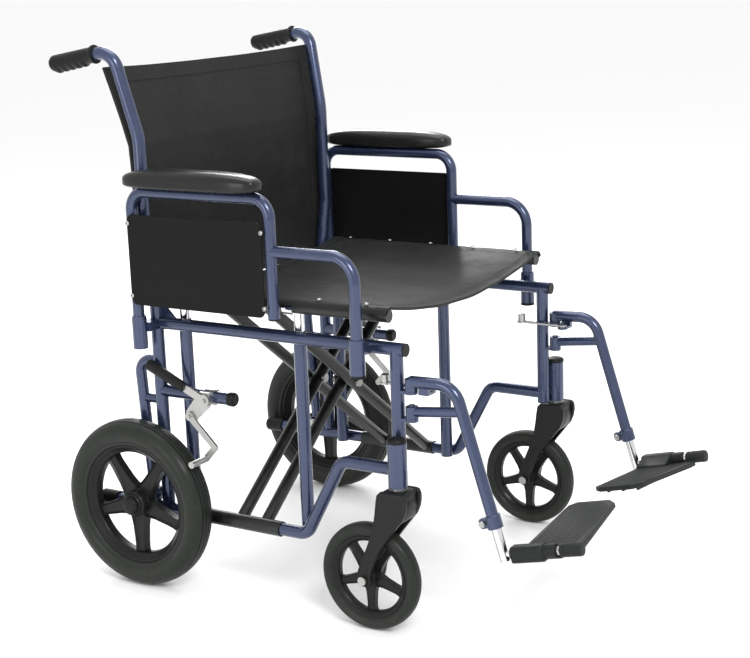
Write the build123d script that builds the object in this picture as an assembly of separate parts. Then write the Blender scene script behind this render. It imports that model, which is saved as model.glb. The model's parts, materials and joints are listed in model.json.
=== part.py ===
# Folding transport wheelchair, millimetres, +Z up. The chair faces -Y and X runs across it.
# The right side (occupant's right, -X) is modelled and mirrored to make the left side.
from build123d import *
from math import cos, radians, sin, tan
import os

os.makedirs("parts", exist_ok=True)

# ---------------------------------------------------------------- clearances
RUNNING = 0.06          # radial gap of a shaft in its bore
SOFT_GAP = 0.3          # gap between cloth or a pad and the metal under it
GUIDE_GAP = 0.6         # radial gap of the guide posts, the pivot left open in the folding linkage
SIDE_GAP = 0.5          # gap between parts that slide past one another face to face
WELD = 1.2              # how far two tubes that touch along their sides run into each other

# ---------------------------------------------------------------- tube stock
POST_R = 11.3           # upright tubes
RAIL_R = 10.9           # rails and the cross-brace tubes
SMALL_R = 10.0          # armrest, hanger and outrigger tubes
WALL = 1.7              # wall of all of them

# ---------------------------------------------------------------- side frame
FRAME_HALF = 262.0      # middle of the chair to each side frame
RAIL_Z = 475.0          # upper rail
LOWER_Z = 131.0         # lower rail
RAIL_FRONT_Y = -182.0   # front end of the upper rail
FRONT_POST_Y = -166.0   # front upright
FRONT_POST_BOTTOM = 256.0
BACK_POST_Y = 326.0     # rear upright, which is also the back cane
LOWER_REAR_Y = 474.0    # the lower rail runs on past the axle as a tipping lever
KNEE_LOW_Y = 24.0       # where the lower rail turns up
KNEE_HIGH_Y = -53.0     # where it turns level again
KNEE_HIGH_Z = 272.0
KNEE_BEND = 26.0
GUIDE_YS = (36.0, 280.0)    # the two vertical guide tubes
GUIDE_BOTTOM = 126.0
GUIDE_TOP = 481.0
OUTRIGGER_TOP_Z = 404.0
OUTRIGGER_REACH = 46.0      # how far behind the upright the outrigger's top bend lies
OUTRIGGER_BEND = 24.0
TIE_Z = 334.0               # short tie between upright and outrigger
STUB_Z = 352.0              # tube that carries the brake
STUB_FRONT_Y = 174.0
PLUG_LIP = 3.0              # how far the lower rail's end plug stands out round it
GUSSET = 42.0               # leg of the corner plate under the cane
GUSSET_T = 4.0

# ---------------------------------------------------------------- back cane and push handle
CANE_BEND_Z = 800.0
CANE_LEAN = 12.5            # degrees
CANE_TOP_Z = 949.0
CANE_OUT = 16.0             # the cane steps this far outboard above the seat
CANE_OUT_ZS = (530.0, 610.0)
CANE_SPLAY = 16.0           # and leans this much further out on its way to the handle
CANE_STEP_BEND = 60.0
CANE_BEND = 120.0
HANDLE_DROP = 10.0          # degrees below level
HANDLE_BEND = 32.0
HANDLE_LENGTH = 137.0       # from the corner to the end of the tube
GRIP_LENGTH = 105.0
GRIP_R = 15.0
GRIP_RIB = 2.0              # finger ribs stand this far out
GRIP_RIBS = 4
GRIP_COLLAR_R = 20.0
GRIP_COLLAR = 7.0

# ---------------------------------------------------------------- wheels
TYRE_GAP = 3.1              # tyre's inner side to the lower rail's end plug
WHEEL_R = 152.4
AXLE_Y = 356.0
TYRE_W = 54.0
WHEEL_HALF = FRAME_HALF + RAIL_R + PLUG_LIP + TYRE_GAP + TYRE_W / 2     # to the rear wheel's middle
TYRE_H = 44.0
RIM_T = 15.0
RIM_W = 36.0
HUB_R = 24.0
HUB_W = 50.0
SPOKES = 5
SPOKE_ROOT = 15.0           # half width at the hub
SPOKE_TIP = 8.5             # half width at the rim
SPOKE_T = 14.0
AXLE_R = 6.0
BEARING_R = 14.0
BEARING_W = 10.0
HUB_CAP_R = 17.0
HUB_CAP_L = 9.0
NUT_T = 7.0

CASTER_HALF = FRAME_HALF + 27.0     # middle of the chair to the swivel axis
CASTER_R = 92.0
CASTER_TRAIL = 57.0
STEM_Y = -178.0
CASTER_TYRE_W = 30.0
CASTER_TYRE_H = 21.0
CASTER_RIM_T = 10.0
CASTER_RIM_W = 24.0
CASTER_HUB_R = 15.0
CASTER_HUB_W = 32.0
CASTER_SPOKE_ROOT = 9.0
CASTER_SPOKE_TIP = 5.5
CASTER_SPOKE_T = 10.0
CASTER_AXLE_R = 4.0
CASTER_BEARING_R = 9.5
CASTER_BEARING_W = 7.0
HOUSING_R = 16.0
HOUSING_BOTTOM = 254.0
HOUSING_TOP = 328.0
STEM_R = 6.0
STEM_BEARING_R = 13.0
STEM_BEARING_W = 9.0
FORK_TOP = 249.0
FORK_CROWN = 34.0           # depth of the crown block
FORK_CROWN_HALF_Y = 24.0
FORK_LEG_T = 9.0
FORK_GAP = 2.5              # tyre to fork leg

# ---------------------------------------------------------------- armrest
ARM_GAP = 0.7               # armrest tube to the cane, measured across the chair
ARM_HALF = FRAME_HALF + CANE_OUT + POST_R + SMALL_R + ARM_GAP
ARM_REAR_Y = BACK_POST_Y + 8.0
ARM_POST_Y = 44.0           # front post under the pad
ARM_SOCKET_Y = -116.0       # front leg, in its socket on the upper rail
ARM_TOP_Z = 712.0
ARM_LOOP_Z = ARM_TOP_Z - 86.0
ARM_POST_BOTTOM = ARM_LOOP_Z - 112.0
ARM_BEND = 32.0
ARM_LOOP_BEND = 42.0
SOCKET_R = 12.9
SOCKET_BOTTOM = 436.0
SOCKET_TOP = 494.0
ARM_LEG_BOTTOM = 440.0
PAD_FRONT_Y = 53.0
PAD_LENGTH = 278.0
PAD_W = 56.0
PAD_H = 33.0
PAD_OUT = 12.0               # the pad stands outboard of its tube
PANEL_T = 2.6
PANEL_Z = (ARM_POST_BOTTOM + 2.0, ARM_TOP_Z - 38.0)
PANEL_Y = (ARM_POST_Y + 6.0, ARM_REAR_Y + 5.0)
SCREW_R = 3.6

# ---------------------------------------------------------------- seat and cross brace
SEAT_RAIL_Z = 528.0
SEAT_FRONT_Y = -155.0
SEAT_REAR_Y = 300.0
INNER_YS = (115.0, 167.0)   # the inner pair of brace tubes, from right lower rail to left seat rail
OUTER_YS = (92.0, 190.0)    # the outer pair, the other way
SLEEVE_YS = (77.0, 242.0)
SLEEVE_WALL = 2.4
PIVOT_R = 4.0
PIVOT_HEAD_R = 8.0
PIVOT_HEAD_H = 5.0
POST_PIN_R = 8.9            # chrome guide posts
POST_PIN_BOTTOM = 150.0
POST_EYE_R = 14.6
POST_EYE_W = 20.0
SEAT_SAG = 24.0
SEAT_CLOTH = 4.0
SEAT_LIFT = 1.0             # the taut edge stands this far off the rail before it wraps
SEAT_CLOTH_YS = (-157.0, 296.0)
BACK_CLOTH = 3.5
BACK_CLOTH_Z = (505.0, 922.0)
BACK_CLOTH_OUT = ((505.0, 12.0), (600.0, 24.0), (786.0, 24.0), (922.0, 43.0))   # height, past the frame

# ---------------------------------------------------------------- footrest hanger
HANGER_HALF = FRAME_HALF
HINGE_Y = -192.0            # vertical swing axis, just ahead of the front upright
HINGE_PIN_R = 5.0
EYE_R = 10.5
EYE_H = 20.0
TAB_T = 5.0
TAB_ZS = (409.0, 363.0)     # top faces of the two tabs that carry the hanger
HANGER_TOP_Z = 424.0
HANGER_LOW_Z = 374.0
HANGER_CORNER_Y = -271.0
HANGER_SLOPE = 17.2         # degrees from upright
HANGER_BEND = 38.0
HANGER_END_Z = 205.0
LEG_R = 8.2
LEG_WALL = 1.3
LEG_BOTTOM_Z = 149.0
LEG_TOP_Z = 372.0
CLAMP_R = 14.5
CLAMP_H = 22.0

# ---------------------------------------------------------------- footplate
FOOT_TILT = 13.0            # degrees, toe up
FOOT_ROLL = 5.5             # degrees, inboard edge up
FOOT_AXIS_Z = 160.0
FOOT_PIN_R = 5.0
FOOT_PIN_START = 6.0        # along the hinge axis from the leg tube's middle
FOOT_BARREL = (16.0, 96.0)
FOOT_BARREL_R = 11.5
FOOT_CAP = (104.0, 141.0)
FOOT_CAP_R = 11.0
FOOT_WIDTH = 220.0
FOOT_REAR = 18.0
FOOT_FRONT = 124.0
FOOT_FRONT_IN = 106.0
FOOT_T = 9.0
FOOT_DROP = 5.0             # plate's top below the hinge axis

# ---------------------------------------------------------------- brake
BRAKE_X = -FRAME_HALF - 22.0        # middle plane of the brake lever
BRAKE_PLATE_T = 4.0
BRAKE_CLAMP_Y = 214.0
BRAKE_CLAMP_W = 20.0
LEVER_PIVOT = (214.0, 350.0)
LEVER_RISE = 24.0           # degrees above level, brake off
LEVER_STEEL = 46.0
LEVER_REACH = 130.0
LEVER_GRIP_R = 8.5
SHOE_PIVOT = (248.0, 318.0)
SHOE_ELBOW = (196.0, 268.0)
SHOE_TIP = (217.0, 245.0)
SHOE_R = 6.0
SHOE_END_X = -WHEEL_HALF - 20.0
BRAKE_PIN_R = 3.5

# ---------------------------------------------------------------- hanger release lever
RELEASE_PIVOT = (-HANGER_HALF + 19.0, -216.0)
RELEASE_REAR_Y = -132.0
RELEASE_T = 3.0
RELEASE_Z = 409.4
RELEASE_KNOB_R = 7.0
RELEASE_KNOB_H = 13.0

ORIGIN_Y = 7.6              # middle of the chair's length, which is put at Y = 0 as a piece is written

# places worked out from the sizes above
GUIDE_X = -FRAME_HALF + POST_R + RAIL_R - WELD
BOSS_INNER = -FRAME_HALF + SMALL_R + 3
CANE_BOTTOM = LOWER_Z + RAIL_R - WELD
BRACE_Z = (LOWER_Z + SEAT_RAIL_Z) / 2
SLOPE = tan(radians(HANGER_SLOPE))


# ================================================================ helpers
def rod(points, radius, bends=None):
    """A round bar along straight runs joined by bends."""
    if bends is None:
        path = Polyline(*points) if len(points) > 2 else Line(*points)
    else:
        path = FilletPolyline(*points, radius=bends)
    start = Plane(origin=path @ 0, z_dir=path % 0)
    return sweep(start * Circle(radius), path=path)


def hollow(runs, wall=WALL):
    """Welded tubes: each run is (points, radius, bends)."""
    body = Part()
    bore = Part()
    for points, radius, bends in runs:
        body += rod(points, radius, bends)
        bore += rod(points, radius - wall, bends)
    return body - bore


def post(x, y, low, high, radius):
    """An upright cylinder."""
    return Pos(x, y, (low + high) / 2) * Cylinder(radius, high - low)


def across(x0, x1, y, z, radius):
    """A cylinder along X."""
    return Pos((x0 + x1) / 2, y, z) * Rot(0, 90, 0) * Cylinder(radius, abs(x1 - x0))


def fore_aft(x, y0, y1, z, radius):
    """A cylinder along Y."""
    return Pos(x, (y0 + y1) / 2, z) * Rot(90, 0, 0) * Cylinder(radius, abs(y1 - y0))


def block(x, y, z):
    """A box from three (low, high) pairs."""
    size = (x[1] - x[0], y[1] - y[0], z[1] - z[0])
    return Pos((x[0] + x[1]) / 2, (y[0] + y[1]) / 2, (z[0] + z[1]) / 2) * Box(*size)


def side_plate(outline, x0, x1):
    """A flat plate across X from its outline in (y, z)."""
    face = make_face(Plane.YZ * Polyline(*outline, close=True))
    return Pos(min(x0, x1), 0, 0) * extrude(face, abs(x1 - x0), dir=(1, 0, 0))


def wheel_ring(x, y, z, middle_r, width, height, corner):
    """A ring about an axle along X, with a rounded section."""
    section = Plane.XZ * Pos(0, middle_r) * RectangleRounded(width, height, corner)
    return Pos(x, y, z) * revolve(section, Axis.X)


def spoked(x, y, z, rim_out, rim_t, rim_w, hub_r, hub_w, root, tip, thick, bore):
    """Hub, five tapered spokes and rim, one spoke pointing straight down."""
    rim = wheel_ring(0, 0, 0, rim_out - rim_t / 2, rim_w, rim_t, min(rim_t, rim_w) * 0.3)
    wheel = rim + Rot(0, 90, 0) * Cylinder(hub_r, hub_w)
    reach = rim_out - rim_t * 0.6
    web = [(-root, 0), (-tip, -reach), (tip, -reach), (root, 0)]
    rib = [(-root * 0.4, 0), (-tip * 0.4, -reach), (tip * 0.4, -reach), (root * 0.4, 0)]
    for index in range(SPOKES):
        turn = Rot(360 / SPOKES * index, 0, 0)
        wheel += turn * side_plate(web, -thick / 2, thick / 2)
        wheel += turn * side_plate(rib, -thick * 0.85, thick * 0.85)
    wheel -= Rot(0, 90, 0) * Cylinder(bore, hub_w * 2)
    return Pos(x, y, z) * wheel


def bearing_pair(x, half, y, z, radius, width, bore):
    """Two bearings in the ends of a hub along X."""
    ring = Cylinder(radius, width) - Cylinder(bore, width * 2)
    return [Pos(x + side * (half - width / 2), y, z) * Rot(0, 90, 0) * ring for side in (-1, 1)]


def group(solids):
    return Compound(children=list(solids))


# ================================================================ side frame, right
def handle_corner():
    """Where the cane turns back into the push handle."""
    back = (CANE_TOP_Z - CANE_BEND_Z) * tan(radians(CANE_LEAN))
    return -FRAME_HALF - CANE_OUT - CANE_SPLAY, BACK_POST_Y + back, CANE_TOP_Z


def back_cane():
    x, y, z = handle_corner()
    drop = radians(HANDLE_DROP)
    end = (x, y + HANDLE_LENGTH * cos(drop), z - HANDLE_LENGTH * sin(drop))
    out = -FRAME_HALF - CANE_OUT
    low, high = CANE_OUT_ZS
    points = [(-FRAME_HALF, BACK_POST_Y, CANE_BOTTOM), (-FRAME_HALF, BACK_POST_Y, low)]
    points += [(out, BACK_POST_Y, high), (out, BACK_POST_Y, CANE_BEND_Z), (x, y, z), end]
    return hollow([(points, POST_R, [CANE_STEP_BEND, CANE_STEP_BEND, CANE_BEND, HANDLE_BEND])])


def handle_plane(distance):
    """Plane across the push handle, this far back from its corner."""
    x, y, z = handle_corner()
    drop = radians(HANDLE_DROP)
    origin = (x, y + distance * cos(drop), z - distance * sin(drop))
    return Plane(origin=origin, x_dir=(1, 0, 0), z_dir=(0, cos(drop), -sin(drop)))


def push_grip():
    start = HANDLE_LENGTH - GRIP_LENGTH + 4
    grip = handle_plane(start + GRIP_LENGTH / 2) * Cylinder(GRIP_R, GRIP_LENGTH)
    grip = fillet(grip.edges().filter_by(GeomType.CIRCLE).sort_by(Axis.Y)[-1:], 7)
    grip += handle_plane(start + GRIP_COLLAR / 2) * Cylinder(GRIP_COLLAR_R, GRIP_COLLAR)
    pitch = (GRIP_LENGTH - 30) / GRIP_RIBS
    for index in range(GRIP_RIBS):
        ring = Torus(GRIP_R - GRIP_RIB * 0.5, GRIP_RIB * 1.6)
        grip += handle_plane(start + 22 + pitch * index) * ring
    depth = HANDLE_LENGTH - start + 2
    bore = handle_plane(HANDLE_LENGTH - depth / 2) * Cylinder(POST_R, depth)
    return grip - bore


def outrigger_run():
    top_y = BACK_POST_Y + OUTRIGGER_REACH
    outline = [(BACK_POST_Y, OUTRIGGER_TOP_Z), (top_y, OUTRIGGER_TOP_Z), (AXLE_Y, LOWER_Z)]
    return [(-FRAME_HALF, y, z) for y, z in outline]


def side_frame():
    x = -FRAME_HALF
    lower = [(LOWER_REAR_Y, LOWER_Z), (KNEE_LOW_Y, LOWER_Z)]
    lower += [(KNEE_HIGH_Y, KNEE_HIGH_Z), (FRONT_POST_Y, KNEE_HIGH_Z)]
    outrigger = outrigger_run()
    tie = [(x, BACK_POST_Y, TIE_Z), (x, BACK_POST_Y + OUTRIGGER_REACH, TIE_Z)]
    runs = [
        ([(x, BACK_POST_Y, RAIL_Z), (x, RAIL_FRONT_Y, RAIL_Z)], RAIL_R, None),
        ([(x, y, z) for y, z in lower], RAIL_R, KNEE_BEND),
        ([(x, FRONT_POST_Y, RAIL_Z), (x, FRONT_POST_Y, FRONT_POST_BOTTOM)], POST_R, None),
        (outrigger, SMALL_R, OUTRIGGER_BEND),
        ([(x, BACK_POST_Y, STUB_Z), (x, STUB_FRONT_Y, STUB_Z)], RAIL_R, None),
    ]
    frame = hollow(runs)
    frame += rod(tie, SMALL_R * 0.8) - rod(outrigger, SMALL_R - WALL, OUTRIGGER_BEND)
    for y in GUIDE_YS:
        frame += post(GUIDE_X, y, GUIDE_BOTTOM, GUIDE_TOP, POST_R)
    for y in GUIDE_YS:
        frame -= post(GUIDE_X, y, GUIDE_BOTTOM - 1, GUIDE_TOP + 1, POST_PIN_R + GUIDE_GAP)
    corner = RAIL_Z + RAIL_R * 0.5
    face_y = BACK_POST_Y - POST_R * 0.5
    gusset = [(face_y, corner), (face_y - GUSSET, corner), (face_y, corner + GUSSET)]
    frame += side_plate(gusset, x - GUSSET_T / 2, x + GUSSET_T / 2)
    # caster housing, welded outboard of the front upright
    frame += post(-CASTER_HALF, STEM_Y, HOUSING_BOTTOM, HOUSING_TOP, HOUSING_R)
    web = (-CASTER_HALF + HOUSING_R * 0.4, x - POST_R * 0.8)
    frame += block(web, (STEM_Y, FRONT_POST_Y), (FRONT_POST_BOTTOM + 12, HOUSING_TOP - 6))
    frame -= post(-CASTER_HALF, STEM_Y, HOUSING_BOTTOM - 1, HOUSING_TOP + 1, STEM_BEARING_R)
    # armrest sockets and the blocks that carry them
    for y, tube_y in ((ARM_SOCKET_Y, ARM_SOCKET_Y), (ARM_REAR_Y, BACK_POST_Y - 4)):
        carry = (min(y, tube_y) - 7, max(y, tube_y) + 7)
        frame += block((-ARM_HALF + 4, x - RAIL_R * 0.6), carry, (RAIL_Z - 9, RAIL_Z + 7))
        frame += post(-ARM_HALF, y, SOCKET_BOTTOM, SOCKET_TOP, SOCKET_R)
    for y in (ARM_SOCKET_Y, ARM_REAR_Y):
        frame -= post(-ARM_HALF, y, SOCKET_BOTTOM - 1, SOCKET_TOP + 1, SMALL_R + RUNNING)
    # tabs and pins for the footrest hanger
    for top in TAB_ZS:
        frame += block((x - 8, x + 8), (HINGE_Y, FRONT_POST_Y - POST_R * 0.7), (top - TAB_T, top))
        frame += post(x, HINGE_Y, top - TAB_T, top, EYE_R)
        frame += post(x, HINGE_Y, top, top + EYE_H + 3, HINGE_PIN_R)
    # axle boss
    boss_out = -WHEEL_HALF + HUB_W / 2 + SIDE_GAP
    frame += across(BOSS_INNER, boss_out, AXLE_Y, WHEEL_R, HUB_CAP_R * 0.8)
    frame -= across(x - 60, x + 60, AXLE_Y, WHEEL_R, AXLE_R)
    upright = [(x, BACK_POST_Y, CANE_BOTTOM), (x, BACK_POST_Y, CANE_OUT_ZS[0] - 6)]
    return frame - rod(upright, POST_R)


def frame_plugs():
    rail = fore_aft(-FRAME_HALF, RAIL_FRONT_Y - 3, RAIL_FRONT_Y, RAIL_Z, RAIL_R)
    rail += fore_aft(-FRAME_HALF, RAIL_FRONT_Y, RAIL_FRONT_Y + 14, RAIL_Z, RAIL_R - WALL)
    stub = fore_aft(-FRAME_HALF, STUB_FRONT_Y - 12, STUB_FRONT_Y, STUB_Z, RAIL_R + 1.5)
    stub = fillet(stub.edges().sort_by(Axis.Y)[:1], 5)
    stub += fore_aft(-FRAME_HALF, STUB_FRONT_Y, STUB_FRONT_Y + 14, STUB_Z, RAIL_R - WALL)
    tip = fore_aft(-FRAME_HALF, LOWER_REAR_Y - 32, LOWER_REAR_Y + 8, LOWER_Z, RAIL_R + PLUG_LIP)
    tip = fillet(tip.edges().sort_by(Axis.Y)[-1:], 5)
    tip -= fore_aft(-FRAME_HALF, LOWER_REAR_Y - 40, LOWER_REAR_Y, LOWER_Z, RAIL_R)
    low = post(-FRAME_HALF, FRONT_POST_Y, FRONT_POST_BOTTOM - 2, FRONT_POST_BOTTOM, POST_R)
    low += post(-FRAME_HALF, FRONT_POST_Y, FRONT_POST_BOTTOM, FRONT_POST_BOTTOM + 10, POST_R - WALL)
    socket = post(-ARM_HALF, ARM_SOCKET_Y, SOCKET_BOTTOM - 5, SOCKET_BOTTOM, SOCKET_R)
    return group([rail, stub, tip, low, socket])


# ================================================================ rear wheel, right
def rear_tyre():
    middle = WHEEL_R - TYRE_H / 2
    return wheel_ring(-WHEEL_HALF, AXLE_Y, WHEEL_R, middle, TYRE_W, TYRE_H, TYRE_H * 0.44)


def rear_wheel():
    rim_out = WHEEL_R - TYRE_H
    size = (rim_out, RIM_T, RIM_W, HUB_R, HUB_W, SPOKE_ROOT, SPOKE_TIP, SPOKE_T, AXLE_R + 3)
    wheel = spoked(-WHEEL_HALF, AXLE_Y, WHEEL_R, *size)
    for side in (-1, 1):
        face = -WHEEL_HALF + side * HUB_W / 2
        seat = BEARING_R + RUNNING
        wheel -= across(face - side * (BEARING_W + SIDE_GAP), face + side * 2, AXLE_Y, WHEEL_R, seat)
    return wheel


def rear_axle():
    outer = -WHEEL_HALF - HUB_W / 2 - SIDE_GAP
    bolt = across(outer - 4, BOSS_INNER + NUT_T + 2, AXLE_Y, WHEEL_R, AXLE_R)
    cap = across(outer - HUB_CAP_L, outer, AXLE_Y, WHEEL_R, HUB_CAP_R)
    cap = fillet(cap.edges().filter_by(GeomType.CIRCLE).sort_by(Axis.X)[:1], 3)
    nut = Pos(BOSS_INNER, AXLE_Y, WHEEL_R) * Rot(0, 90, 0) * extrude(RegularPolygon(9, 6), NUT_T)
    bearings = bearing_pair(-WHEEL_HALF, HUB_W / 2, AXLE_Y, WHEEL_R, BEARING_R, BEARING_W, AXLE_R)
    return group([bolt + cap + nut] + bearings)


# ================================================================ caster, right
def caster_tyre():
    middle = CASTER_R - CASTER_TYRE_H / 2
    y = STEM_Y + CASTER_TRAIL
    return wheel_ring(-CASTER_HALF, y, CASTER_R, middle, CASTER_TYRE_W, CASTER_TYRE_H, 8.5)


def caster_wheel():
    rim_out = CASTER_R - CASTER_TYRE_H
    y = STEM_Y + CASTER_TRAIL
    size = (rim_out, CASTER_RIM_T, CASTER_RIM_W, CASTER_HUB_R, CASTER_HUB_W)
    shape = (CASTER_SPOKE_ROOT, CASTER_SPOKE_TIP, CASTER_SPOKE_T, CASTER_AXLE_R + 2)
    wheel = spoked(-CASTER_HALF, y, CASTER_R, *size, *shape)
    for side in (-1, 1):
        face = -CASTER_HALF + side * CASTER_HUB_W / 2
        depth = CASTER_BEARING_W + SIDE_GAP
        seat = CASTER_BEARING_R + RUNNING
        wheel -= across(face - side * depth, face + side * 2, y, CASTER_R, seat)
    return wheel


def fork_inner():
    return max(CASTER_TYRE_W, CASTER_HUB_W) / 2 + FORK_GAP


def caster_fork():
    y = STEM_Y
    axle_y = y + CASTER_TRAIL
    low = FORK_TOP - FORK_CROWN
    half = FORK_CROWN_HALF_Y
    side = [(y - half, FORK_TOP), (y - half, low), (axle_y - 20, CASTER_R + 30)]
    side += [(axle_y - 13, CASTER_R - 4), (axle_y - 5, CASTER_R - 13)]
    side += [(axle_y + 5, CASTER_R - 13), (axle_y + 13, CASTER_R - 4)]
    side += [(axle_y + 17, CASTER_R + 40), (y + half + 14, low + 2), (y + half, FORK_TOP)]
    outer = fork_inner() + FORK_LEG_T
    x = -CASTER_HALF
    fork = side_plate(side, x - outer, x + outer)
    fork = fillet(fork.edges().filter_by(Axis.X).sort_by(Axis.Z)[-4:], 7)
    slot = block((x - fork_inner(), x + fork_inner()), (y - 90, axle_y + 90), (0, low))
    fork -= slot
    fork -= across(x - 60, x + 60, axle_y, CASTER_R, CASTER_AXLE_R)
    fork -= post(x, y, low - 1, FORK_TOP + 1, STEM_R)
    return fork


def caster_pins():
    """Swivel stem, axle bolt and the two wheel bearings on it."""
    x = -CASTER_HALF
    y = STEM_Y + CASTER_TRAIL
    outer = fork_inner() + FORK_LEG_T
    bolt = across(x - outer - 3, x + outer + 3, y, CASTER_R, CASTER_AXLE_R)
    for side in (-1, 1):
        face = x + side * outer
        bolt += across(face, face + side * 5, y, CASTER_R, 7.5)
    stem = post(x, STEM_Y, FORK_TOP - FORK_CROWN, HOUSING_TOP - 4, STEM_R)
    stem += post(x, STEM_Y, FORK_TOP, FORK_TOP + 3, STEM_R + 5)
    size = (CASTER_BEARING_R, CASTER_BEARING_W, CASTER_AXLE_R)
    bearings = bearing_pair(x, CASTER_HUB_W / 2, y, CASTER_R, *size)
    return group([bolt, stem] + bearings)


def stem_bearings():
    """Two bearings in the housing and the cap over its top."""
    x = -CASTER_HALF
    bore = post(x, STEM_Y, 0, 400, STEM_R + RUNNING)
    lower = post(x, STEM_Y, HOUSING_BOTTOM, HOUSING_BOTTOM + STEM_BEARING_W, STEM_BEARING_R) - bore
    top = HOUSING_TOP - 14
    upper = post(x, STEM_Y, top - STEM_BEARING_W, top, STEM_BEARING_R) - bore
    cap = post(x, STEM_Y, HOUSING_TOP, HOUSING_TOP + 5, HOUSING_R)
    cap = fillet(cap.edges().sort_by(Axis.Z)[-1:], 3)
    cap += post(x, STEM_Y, HOUSING_TOP - 3, HOUSING_TOP, STEM_BEARING_R)
    return group([lower, upper, cap])


# ================================================================ armrest, right
def arm_tube():
    x = -ARM_HALF
    upper = [(ARM_REAR_Y, ARM_LEG_BOTTOM), (ARM_REAR_Y, ARM_TOP_Z)]
    upper += [(ARM_POST_Y, ARM_TOP_Z), (ARM_POST_Y, ARM_POST_BOTTOM)]
    lower = [(ARM_POST_Y, ARM_LOOP_Z), (ARM_SOCKET_Y, ARM_LOOP_Z), (ARM_SOCKET_Y, ARM_LEG_BOTTOM)]
    runs = [
        ([(x, y, z) for y, z in upper], SMALL_R, ARM_BEND),
        ([(x, y, z) for y, z in lower], SMALL_R * 0.99, ARM_LOOP_BEND),
    ]
    return hollow(runs)


def arm_plug():
    """Plug in the open foot of the front post."""
    place = (-ARM_HALF, ARM_POST_Y)
    foot = post(*place, ARM_POST_BOTTOM - 3, ARM_POST_BOTTOM, SMALL_R)
    return foot + post(*place, ARM_POST_BOTTOM, ARM_POST_BOTTOM + 12, SMALL_R - WALL)


def arm_pad():
    low = ARM_TOP_Z + SMALL_R
    x = -ARM_HALF - PAD_OUT
    y = PAD_FRONT_Y + PAD_LENGTH / 2
    plan = Plane(origin=(x, y, low)) * RectangleRounded(PAD_W, PAD_LENGTH, PAD_W * 0.46)
    pad = extrude(plan, PAD_H)
    return fillet(pad.edges().group_by(Axis.Z)[-1], PAD_H * 0.4)


def side_panel():
    x = -ARM_HALF - SMALL_R - SOFT_GAP
    return block((x - PANEL_T, x), PANEL_Y, PANEL_Z)


def arm_screws():
    face = -ARM_HALF - SMALL_R - SOFT_GAP - PANEL_T
    low, high = PANEL_Z[0] + 16, PANEL_Z[1] - 16
    solids = []
    for y in (ARM_POST_Y + 6.4, ARM_REAR_Y):
        for z in (low, high):
            solids.append(across(face - 2.2, face, y, z, SCREW_R))
    return group(solids + [arm_plug()])


# ================================================================ seat and cross brace
def cross_arm(ys, side):
    """Two tubes from the lower rail on one side (-1 right) up to the seat rail on the other."""
    x = side * FRAME_HALF
    arm = Part()
    for y in ys:
        run = [(x, y, LOWER_Z), (-x, y, SEAT_RAIL_Z)]
        arm += rod(run, RAIL_R * 0.98) - rod(run, RAIL_R - WALL)
    arm += fore_aft(x, *SLEEVE_YS, LOWER_Z, RAIL_R + SLEEVE_WALL)
    arm -= fore_aft(x, SLEEVE_YS[0] - 1, SLEEVE_YS[1] + 1, LOWER_Z, RAIL_R + RUNNING)
    arm += fore_aft(-x, SEAT_FRONT_Y, SEAT_REAR_Y, SEAT_RAIL_Z, RAIL_R)
    arm -= fore_aft(-x, SEAT_FRONT_Y + 6, SEAT_REAR_Y - 6, SEAT_RAIL_Z, RAIL_R - WALL)
    arm -= fore_aft(0, SLEEVE_YS[0] - 40, SLEEVE_YS[1] + 40, BRACE_Z, PIVOT_R + RUNNING)
    return arm


def pivot_bolts():
    solids = []
    pairs = ((OUTER_YS[0], INNER_YS[0]), (INNER_YS[1], OUTER_YS[1]))
    for front, rear in pairs:
        start, end = front - RAIL_R - 0.4, rear + RAIL_R + 0.4
        bolt = fore_aft(0, start - 2, end + 2, BRACE_Z, PIVOT_R)
        bolt += fore_aft(0, start - PIVOT_HEAD_H, start, BRACE_Z, PIVOT_HEAD_R)
        bolt += fore_aft(0, end, end + PIVOT_HEAD_H, BRACE_Z, PIVOT_HEAD_R)
        solids.append(bolt)
    return group(solids)


def guide_posts():
    """Chrome posts hung from the right seat rail, sliding in the guide tubes."""
    x = -FRAME_HALF
    solids = []
    for y in GUIDE_YS:
        eye = fore_aft(x, y - POST_EYE_W / 2, y + POST_EYE_W / 2, SEAT_RAIL_Z, POST_EYE_R)
        eye += post(GUIDE_X, y, POST_PIN_BOTTOM, SEAT_RAIL_Z - 2, POST_PIN_R)
        eye -= fore_aft(x, y - 30, y + 30, SEAT_RAIL_Z, RAIL_R + RUNNING)
        eye -= block((x - 40, x + 60), (y - 30, y + 30), (SEAT_RAIL_Z + 2.5, SEAT_RAIL_Z + 40))
        solids.append(eye)
    return group(solids)


def sling_face(y, lift, thick):
    """Cross-section of the sagging seat cloth."""
    half = FRAME_HALF + 3
    top = SEAT_RAIL_Z + RAIL_R + SOFT_GAP + lift
    under = ThreePointArc((-half, top), (0, top - SEAT_SAG), (half, top))
    over = ThreePointArc((half, top + thick), (0, top - SEAT_SAG + thick), (-half, top + thick))
    right = Line((half, top), (half, top + thick))
    left = Line((-half, top + thick), (-half, top))
    section = make_face([under, right, over, left])
    return Plane(origin=(0, y, 0), x_dir=(1, 0, 0), z_dir=(0, -1, 0)) * section


def seat_upholstery():
    depth = SEAT_CLOTH_YS[1] - SEAT_CLOTH_YS[0]
    return extrude(sling_face(SEAT_CLOTH_YS[1], SEAT_LIFT, SEAT_CLOTH), depth, dir=(0, -1, 0))


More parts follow.
